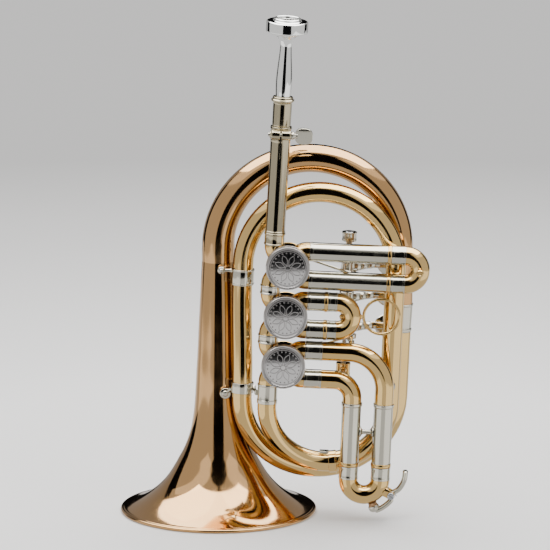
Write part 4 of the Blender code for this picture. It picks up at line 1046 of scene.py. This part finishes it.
def make_axle():
    high, low = BRACKET_Z
    drum = 4.0
    upper_top = 1.9
    ends = (low - drum - 0.3, high + upper_top - 0.9)
    axle = turned_solid([
        (0.0, ends[0] - 1.5), (2.2, ends[0] - 1.5), (2.8, ends[0] - 1.0), (2.8, ends[0]), (1.5, ends[0]),
        (1.5, ends[1]), (2.8, ends[1]), (2.8, ends[1] + 0.8), (2.5, ends[1] + 1.1), (0.0, ends[1] + 1.2),
    ], "Z", 0.2, 36)
    place = on_wrap(AXLE_X, AXLE_Y, 0.0)
    axle = show("lever_axle_rod", axle, "steel", place=place, replaces=["lever_axle"])
    carve(axle, slab((-3.4, -0.35, ends[1] + 0.6), (3.4, 0.35, ends[1] + 2.5), 0.05), place)
    waist = HUB_RADIUS - 0.2
    foot = [(waist, -drum + 1.1), (HUB_RADIUS, -drum + 1.1), (HUB_RADIUS, -drum), (AXLE_BORE, -drum)]
    lip, seat = upper_top - 1.0, 3.0
    upper = [(HUB_RADIUS + 0.1, upper_top), (HUB_RADIUS + 0.1, lip + 0.1), (waist, lip), *foot,
             (AXLE_BORE, lip), (seat, lip), (seat, upper_top)]
    lower = [(HUB_RADIUS, drum), (HUB_RADIUS, drum - 1.1), (waist, drum - 1.1), *foot, (AXLE_BORE, drum)]
    foot_y = PORT_Y + SLEEVE_RADIUS + 0.15
    for name, profile, material, height, post_z in (
        ("upper_axle_bracket", upper, "nickel_silver", high, VALVE_1_Z + SLIDE_OFFSET),
        ("lower_axle_bracket", lower, "yellow_brass", low, low),
    ):
        ring = moved(turned_ring(profile, "Z", 0.1, 56), (AXLE_X, AXLE_Y, height))
        post = turned_solid([
            (0.0, foot_y), (3.3, foot_y), (3.4, foot_y + 0.6), (2.2, foot_y + 1.5), (1.6, foot_y + 3.0),
            (1.6, AXLE_Y - 7.0), (2.3, AXLE_Y - 5.0), (2.3, AXLE_Y - 3.6), (0.0, AXLE_Y - 3.6),
        ], "Y", 0.4, 36)
        show(f"{name}_drum", ring, material, replaces=[name])
        show(f"{name}_post", moved(post, (AXLE_X, 0.0, post_z)), "yellow_brass")


# Slides

def crowned_band(low, high, axis="Z", sides=60):
    """Band at the mouth of a slide's outer tube, highest in its middle."""
    edge = BAND_RADIUS - 0.15
    return turned_ring([
        (edge, high), (BAND_RADIUS, (low + high) / 2), (edge, low), (SLEEVE_BORE, low),
        (SLEEVE_BORE, high),
    ], axis, 0.2, sides)


def rimmed_ring(low, high, outer, drop, bore, rim, sides):
    """Ferrule along X with a rim at each end."""
    waist = outer - drop
    return turned_ring([
        (outer, low), (outer, low + rim), (waist, low + rim), (waist, high - rim), (outer, high - rim),
        (outer, high), (bore, high), (bore, low),
    ], "X", 0.07, sides)


def make_slide_tube(name, band_x, height):
    start = SLIDE_TUBE_X
    collar, end = start + 2.0, band_x[0]
    tube = turned_ring([
        (SLEEVE_BORE, start), (6.3, start), (6.3, collar), (SLEEVE_RADIUS, collar), (SLEEVE_RADIUS, end),
        (SLEEVE_BORE, end),
    ], "X", 0.07)
    show(f"{name}_sleeve", moved(tube, (0.0, PORT_Y, height)), "nickel_silver", replaces=[name])
    band = crowned_band(*band_x, "X", 64)
    show(f"{name}_band", moved(band, (0.0, PORT_Y, height)), "yellow_brass")


def slide_pieces(label, place, leg_start, ferrule_start, bow_start, half):
    """Legs, ferrules and bow of a slide that opens towards -X in its own frame."""
    bore = LEG_RADIUS - WALL
    legs = []
    ferrules = []
    for centre in ((0.0, 0.0, -half), (0.0, 0.0, half)):
        leg = band_solid(leg_start, ferrule_start + 0.5, LEG_RADIUS, bore, "X", 0.15)
        ferrule = rimmed_ring(ferrule_start, bow_start, FERRULE_RADIUS, 0.12, bore, 1.2, 56)
        legs.append(moved(leg, centre))
        ferrules.append(moved(ferrule, centre))
    show(f"{label}_legs", merged(*legs, *ferrules), "nickel_silver", label, place)
    bend = [Vector((bow_start + 0.08, 0.0, half))]
    bend += arc((bow_start + 0.4, 0.0), half, pi / 2, -pi / 2, 36, (0.0, 0.0))
    bend.append(Vector((bow_start + 0.08, 0.0, -half)))
    bow = sweep(bend, KNUCKLE_RADIUS, bore, 44, Vector((1.0, 0.0, 0.0)), Vector((-1.0, 0.0, 0.0)))
    show(f"{label}_bow", bow, "yellow_brass", label, place, [label])


def make_straight_slides():
    for number, band_x, bow_x in ((1, SLIDE_1_BAND_X, SLIDE_1_BOW_X), (2, SLIDE_2_BAND_X, SLIDE_2_BOW_X)):
        label = f"slide_{number}"
        middle = VALVES[number - 1].z
        make_slide_tube(f"{label}_upper_tube", band_x, middle + SLIDE_OFFSET)
        make_slide_tube(f"{label}_lower_tube", band_x, middle - SLIDE_OFFSET)
        slide_pieces(label, on_wrap(0.0, PORT_Y, middle), VALVE_X + KNUCKLE_END + 2.0, band_x[1] + 0.15,
                     bow_x, SLIDE_OFFSET)
    knob = turned_solid([
        (0.0, -9.3), (0.8, -9.5), (1.3, -10.15), (2.0, -10.05), (2.45, -9.3), (2.45, -8.7), (1.8, -8.1),
        (1.25, -7.6), (1.25, -6.9), (1.9, -6.2), (1.9, -5.2), (0.0, -5.2),
    ], "Y", 0.2, 40)
    at = (SLIDE_1_BOW_X + SLIDE_OFFSET, 0.0, 0.0)
    show("slide_1_knob", moved(knob, at), "yellow_brass", "slide_1", on_wrap(0.0, PORT_Y, VALVE_1_Z))

    wire = 0.95
    section = oval((RING_RADIUS, 0.0), (wire, wire), 0.0, tau, 20)[:-1]
    ring = moved(lathe(section, "Y", 96), (RING_CENTRE[0], PORT_Y, RING_CENTRE[1]))
    edge = SLIDE_2_BOW_X + SLIDE_OFFSET + KNUCKLE_RADIUS
    lug = turned_solid([
        (0.0, edge - 0.3), (1.9, edge - 0.1), (1.7, edge + 0.5), (1.1, edge + 1.1), (1.1, edge + 2.4),
        (0.0, edge + 2.4),
    ], "X", 0.2, 24)
    lug = moved(lug, (0.0, PORT_Y, VALVES[1].z + 0.45))
    inside = SLIDE_2_BOW_X + SLIDE_OFFSET - KNUCKLE_RADIUS
    boss = turned_solid([
        (0.0, inside - 1.5), (1.1, inside - 1.2), (1.6, inside - 0.3), (1.6, inside + 0.8),
        (0.0, inside + 1.0),
    ], "X", 0.3, 28)
    show("slide_2_boss", moved(boss, (0.0, PORT_Y, VALVES[1].z)), "yellow_brass", "slide_2")
    show("pull_ring_wire", merged(ring, lug), "yellow_brass", "slide_2", replaces=["pull_ring"])


def make_third_slide_fixed():
    start = SLIDE_TUBE_X
    split = start + 11.0
    bore = KNUCKLE_RADIUS - WALL
    ring_top, ring_low = SLIDE_3_RING_Z + 1.2, SLIDE_3_RING_Z - 0.6
    for name, side, height, radius in (
        ("slide_3_upper_bend", SLIDE_3_RIGHT_X, VALVES[2].z + SLIDE_OFFSET, 24.0),
        ("slide_3_lower_bend", SLIDE_3_LEFT_X, VALVES[2].z - SLIDE_OFFSET, 12.0),
    ):
        ferrule = rimmed_ring(start, split, 6.35, 0.15, bore, 1.6, 60)
        show(f"{name}_ferrule", moved(ferrule, (0.0, PORT_Y, height)), "nickel_silver")
        centre = (side - radius, height - radius)
        path = run((split + 0.1, PORT_Y, height), (centre[0], PORT_Y, height), 4)
        path += arc(centre, radius, pi / 2, 0.0, 40, (PORT_Y, PORT_Y))
        path.append(Vector((side, PORT_Y, ring_top + JOINT_GAP)))
        tube = sweep(path, KNUCKLE_RADIUS, bore, 44, last=DOWN)
        show(f"{name}_tube", tube, "yellow_brass", replaces=[name])

    parts = []
    ring_radius, sleeve_radius, sleeve_end = BAND_RADIUS + 0.1, SLEEVE_RADIUS + 0.05, SLIDE_3_BAND_Z[1]
    for side, word in ((SLIDE_3_LEFT_X, "left"), (SLIDE_3_RIGHT_X, "right")):
        sleeve = turned_ring([
            (SLEEVE_BORE, ring_top), (ring_radius, ring_top), (ring_radius, ring_low),
            (sleeve_radius, ring_low - 0.5), (sleeve_radius, sleeve_end), (SLEEVE_BORE, sleeve_end),
        ], size=0.2, sides=60)
        parts.append(moved(sleeve, (side, PORT_Y, 0.0)))
        band = moved(crowned_band(*SLIDE_3_BAND_Z), (side, PORT_Y, 0.0))
        show(f"slide_3_{word}_band", band, "yellow_brass")
    left, right = SLIDE_3_LEFT_X + SLEEVE_RADIUS - 0.3, SLIDE_3_RIGHT_X - SLEEVE_RADIUS + 0.3
    brace = turned_solid([
        (0.0, left), (3.5, left), (3.4, left + 0.7), (1.9, left + 1.5), (1.45, left + 2.0),
        (1.45, right - 2.0), (1.9, right - 1.5), (3.4, right - 0.7), (3.5, right), (0.0, right),
    ], "X", 0.2, 36)
    parts.append(moved(brace, (0.0, PORT_Y, SLIDE_3_BRACE_Z)))
    show("slide_3_sleeves", merged(*parts), "nickel_silver", replaces=["slide_3_outer_tubes"])
    spacer = turned_solid([
        (0.0, -0.9), (3.3, -0.9), (3.5, -0.3), (2.0, 0.0), (3.5, 0.3), (3.3, 0.9), (0.0, 0.9),
    ], "Y", 0.2, 36)
    show("wrap_spacer_disc", moved(spacer, WRAP_SPACER), "nickel_silver", replaces=["wrap_spacer"])


def make_third_slide():
    middle = (SLIDE_3_LEFT_X + SLIDE_3_RIGHT_X) / 2
    half = (SLIDE_3_RIGHT_X - SLIDE_3_LEFT_X) / 2
    place = on_wrap(middle, PORT_Y, SLIDE_3_BOW_Z)
    upright = place @ Matrix.Rotation(pi / 2, 4, "Y")
    slide_pieces("slide_3", upright, SLIDE_3_BOW_Z - SLIDE_3_RING_Z + 1.0,
                 SLIDE_3_BOW_Z - SLIDE_3_BAND_Z[0] + 0.15, 0.0, half)
    make_water_key(place, half, KEY_PIVOT - Vector((middle, PORT_Y, SLIDE_3_BOW_Z)))


def make_water_key(place, half, pivot):
    """Water key and its saddle, placed from the centre of the third slide's bow of radius half."""
    angle = atan2(pivot.z, pivot.x)
    reach = hypot(pivot.x, pivot.z)
    root = half + 5.0
    shapes = [slab((half + 4.6, -4.2, -2.9), (half + 6.9, 4.2, 2.9), 0.5)]
    outline = [(z + root, x) for x, z in capsule(reach - root, 2.7, 2.6)]
    shapes += [plate(outline, low, high) for low, high in ((-4.3, -2.75), (2.75, 4.3))]
    saddle = turned(merged(*shapes), -angle, "Y")
    show("water_key_saddle", saddle, "yellow_brass", "slide_3", place)

    key_place = place @ Matrix.Translation(pivot)
    screw = turned_solid([
        (0.0, -5.9), (1.5, -6.0), (2.3, -5.5), (2.4, -4.5), (1.15, -4.4), (1.15, 4.9), (0.0, 5.0),
    ], "Y", 0.2, 32)
    screw = show("water_key_pin", screw, "steel", "slide_3", key_place, ["water_key_screw"])
    slot = slab((-2.6, -6.8, -0.28), (2.6, -5.45, 0.28), 0.05)
    carve(screw, turned(slot, radians(35.0), "Y"), key_place)

    hub = band_solid(-2.5, 2.5, 2.6, 1.25, "Y", 0.3, 40)
    touch = through([(1.3, 0.0, 1.2), (5.2, 0.0, 4.0), (8.1, 0.0, 9.6), (8.9, 0.0, 16.4)], 10)
    touch = flattened_bar(touch, spread(1.8, 3.0, len(touch)), 1.8)
    lower = [Vector((0.4, 0.0, -1.9))]
    for turn in spread(KEY_ARM_ANGLE, KEY_PAD_ANGLE, 14):
        lower.append(on_circle((0.0, 0.0), KEY_ARM_RADIUS, turn, 0.0) - pivot)
    lower = flattened_bar(lower, spread(2.0, 2.1, len(lower)), 1.8)
    cup = turned_solid([
        (0.0, 19.5), (2.9, 19.5), (2.9, 18.9), (3.5, 18.9), (3.5, 21.2), (2.9, 22.2), (1.8, 23.0),
        (0.0, 23.1),
    ], "X", 0.3, 40)
    cup = moved(turned(cup, -KEY_PAD_ANGLE, "Y"), -pivot)
    show("water_key_lever", merged(hub, touch, lower, cup), "nickel_silver", "water_key", key_place,
         ["water_key"])
    pad = turned_solid([(0.0, 16.75), (2.6, 16.8), (2.8, 17.3), (2.8, 19.4), (0.0, 19.4)], "X", 0.25, 36)
    pad = moved(turned(pad, -KEY_PAD_ANGLE, "Y"), -pivot)
    show("water_key_pad", pad, "cork", "water_key", key_place, ["water_key_cork"])
    coil = []
    for step in range(73):
        turn = tau * step / 24
        coil.append((1.75 * cos(turn), 5.5 + 2.4 * step / 72, 1.75 * sin(turn)))
    coil.append((4.0, 7.95, -3.0))
    show("water_key_coil", sweep(coil, 0.32, 0.0, 10), "steel", "slide_3", key_place,
         ["water_key_spring"])


def finish_inner_parts():
    """The rotors and bearing plates stay as the CAD has them, inside the casings."""
    for number in (1, 2, 3):
        for node in (f"valve_{number}_rotor", f"valve_{number}_bearing_plate"):
            mesh = frame["nodes"][node].data
            mesh.materials.clear()
            mesh.materials.append(MATERIALS["yellow_brass"])


# Stage

def make_floor():
    mesh = bpy.data.meshes.new("floor")
    reach = 30.0
    corners = [(-reach, -reach, 0.0), (reach, -reach, 0.0), (reach, reach, 0.0), (-reach, reach, 0.0)]
    mesh.from_pydata(corners, [], [(0, 1, 2, 3)])
    mesh.materials.append(floor_material())
    floor = bpy.data.objects.new("floor", mesh)
    bpy.context.scene.collection.objects.link(floor)
    floor.visible_glossy = False
    floor.visible_shadow = False


def make_light(name, azimuth, elevation, distance, size, brightness, target=(0.0, 0.0, 0.16)):
    """Soft box that faces the object. Azimuth 0 is in front, at -Y, and 90 is on the right, at +X."""
    light = bpy.data.lights.new(name, "AREA")
    light.shape = "RECTANGLE"
    light.size, light.size_y = size
    light.energy = brightness * pi * size[0] * size[1]
    lamp = bpy.data.objects.new(name, light)
    bpy.context.scene.collection.objects.link(lamp)
    turn, rise = radians(azimuth), radians(elevation)
    direction = Vector((sin(turn) * cos(rise), -cos(turn) * cos(rise), sin(rise)))
    lamp.location = Vector(target) + direction * distance
    lamp.rotation_euler = direction.to_track_quat("Z", "Y").to_euler()
    lamp.visible_camera = False
    return lamp


def make_world():
    """Pale surroundings for the camera, and dim ones for the metal to reflect."""
    world = bpy.data.worlds.new("studio")
    bpy.context.scene.world = world
    world.use_nodes = True
    tree = world.node_tree
    tree.nodes.clear()
    output = tree.nodes.new("ShaderNodeOutputWorld")
    mix = tree.nodes.new("ShaderNodeMixShader")
    path = tree.nodes.new("ShaderNodeLightPath")
    seen = tree.nodes.new("ShaderNodeBackground")
    lit = tree.nodes.new("ShaderNodeBackground")
    seen.inputs["Color"].default_value = BACKGROUND
    seen.inputs["Strength"].default_value = 1.0
    lit.inputs["Color"].default_value = (0.9, 0.92, 1.0, 1.0)
    lit.inputs["Strength"].default_value = 0.005
    tree.links.new(path.outputs["Is Camera Ray"], mix.inputs[0])
    tree.links.new(lit.outputs[0], mix.inputs[1])
    tree.links.new(seen.outputs[0], mix.inputs[2])
    tree.links.new(mix.outputs[0], output.inputs["Surface"])


def make_camera():
    """Long lens in front of the valves, looking slightly down."""
    middle_x, aim_z, distance = 0.0005, 0.1564, 5.5
    height = distance * tan(radians(14.3))
    data = bpy.data.cameras.new("camera")
    data.sensor_width = 36.0
    data.lens = 571.3
    data.clip_end = 100.0
    camera = bpy.data.objects.new("camera", data)
    bpy.context.scene.collection.objects.link(camera)
    camera.location = (middle_x, -distance, height)
    view = Vector((0.0, distance, aim_z - height))
    camera.rotation_euler = view.to_track_quat("-Z", "Y").to_euler()
    bpy.context.scene.camera = camera


def make_stage():
    make_floor()
    make_world()
    for side, name in ((-1, "left"), (1, "right")):
        make_light(f"{name}_box", side * 67.0, 8.0, 1.5, (3.0, 2.6), 0.75)
        make_light(f"high_{name}_box", side * 80.0, 57.0, 1.5, (2.4, 1.3), 0.75)
        make_light(f"back_{name}_box", side * 150.0, 12.0, 1.8, (1.0, 2.2), 0.4)
    make_light("low_box", 0.0, -90.0, 0.26, (2.6, 2.26), 0.78)
    strip = make_light("top_strip", 180.0, 81.0, 1.5, (3.0, 2.4), 6.5)
    strip.visible_diffuse = False
    fill = make_light("top_fill", 180.0, 72.0, 1.6, (2.6, 3.4), 4.0)
    fill.visible_glossy = False
    make_camera()


def build():
    make_stage()
    make_bell()
    make_bell_bow()
    make_inner_bows()
    make_outer_bow()
    make_wrap_fittings()
    make_bell_braces()
    make_leadpipe()
    make_mouthpiece()
    for number, centre in enumerate(VALVES):
        label, place = f"valve_{number + 1}", on_wrap(*centre)
        make_casing(label, number, place)
        make_cap(label, place)
        make_stops(label, place)
        make_stop_arm(label, f"rotor_{number + 1}", place)
        make_connecting_rod(number)
        make_lever(number, LEVERS[number])
    make_knuckle_ferrules()
    make_axle()
    make_straight_slides()
    make_third_slide_fixed()
    make_third_slide()
    finish_inner_parts()


build()
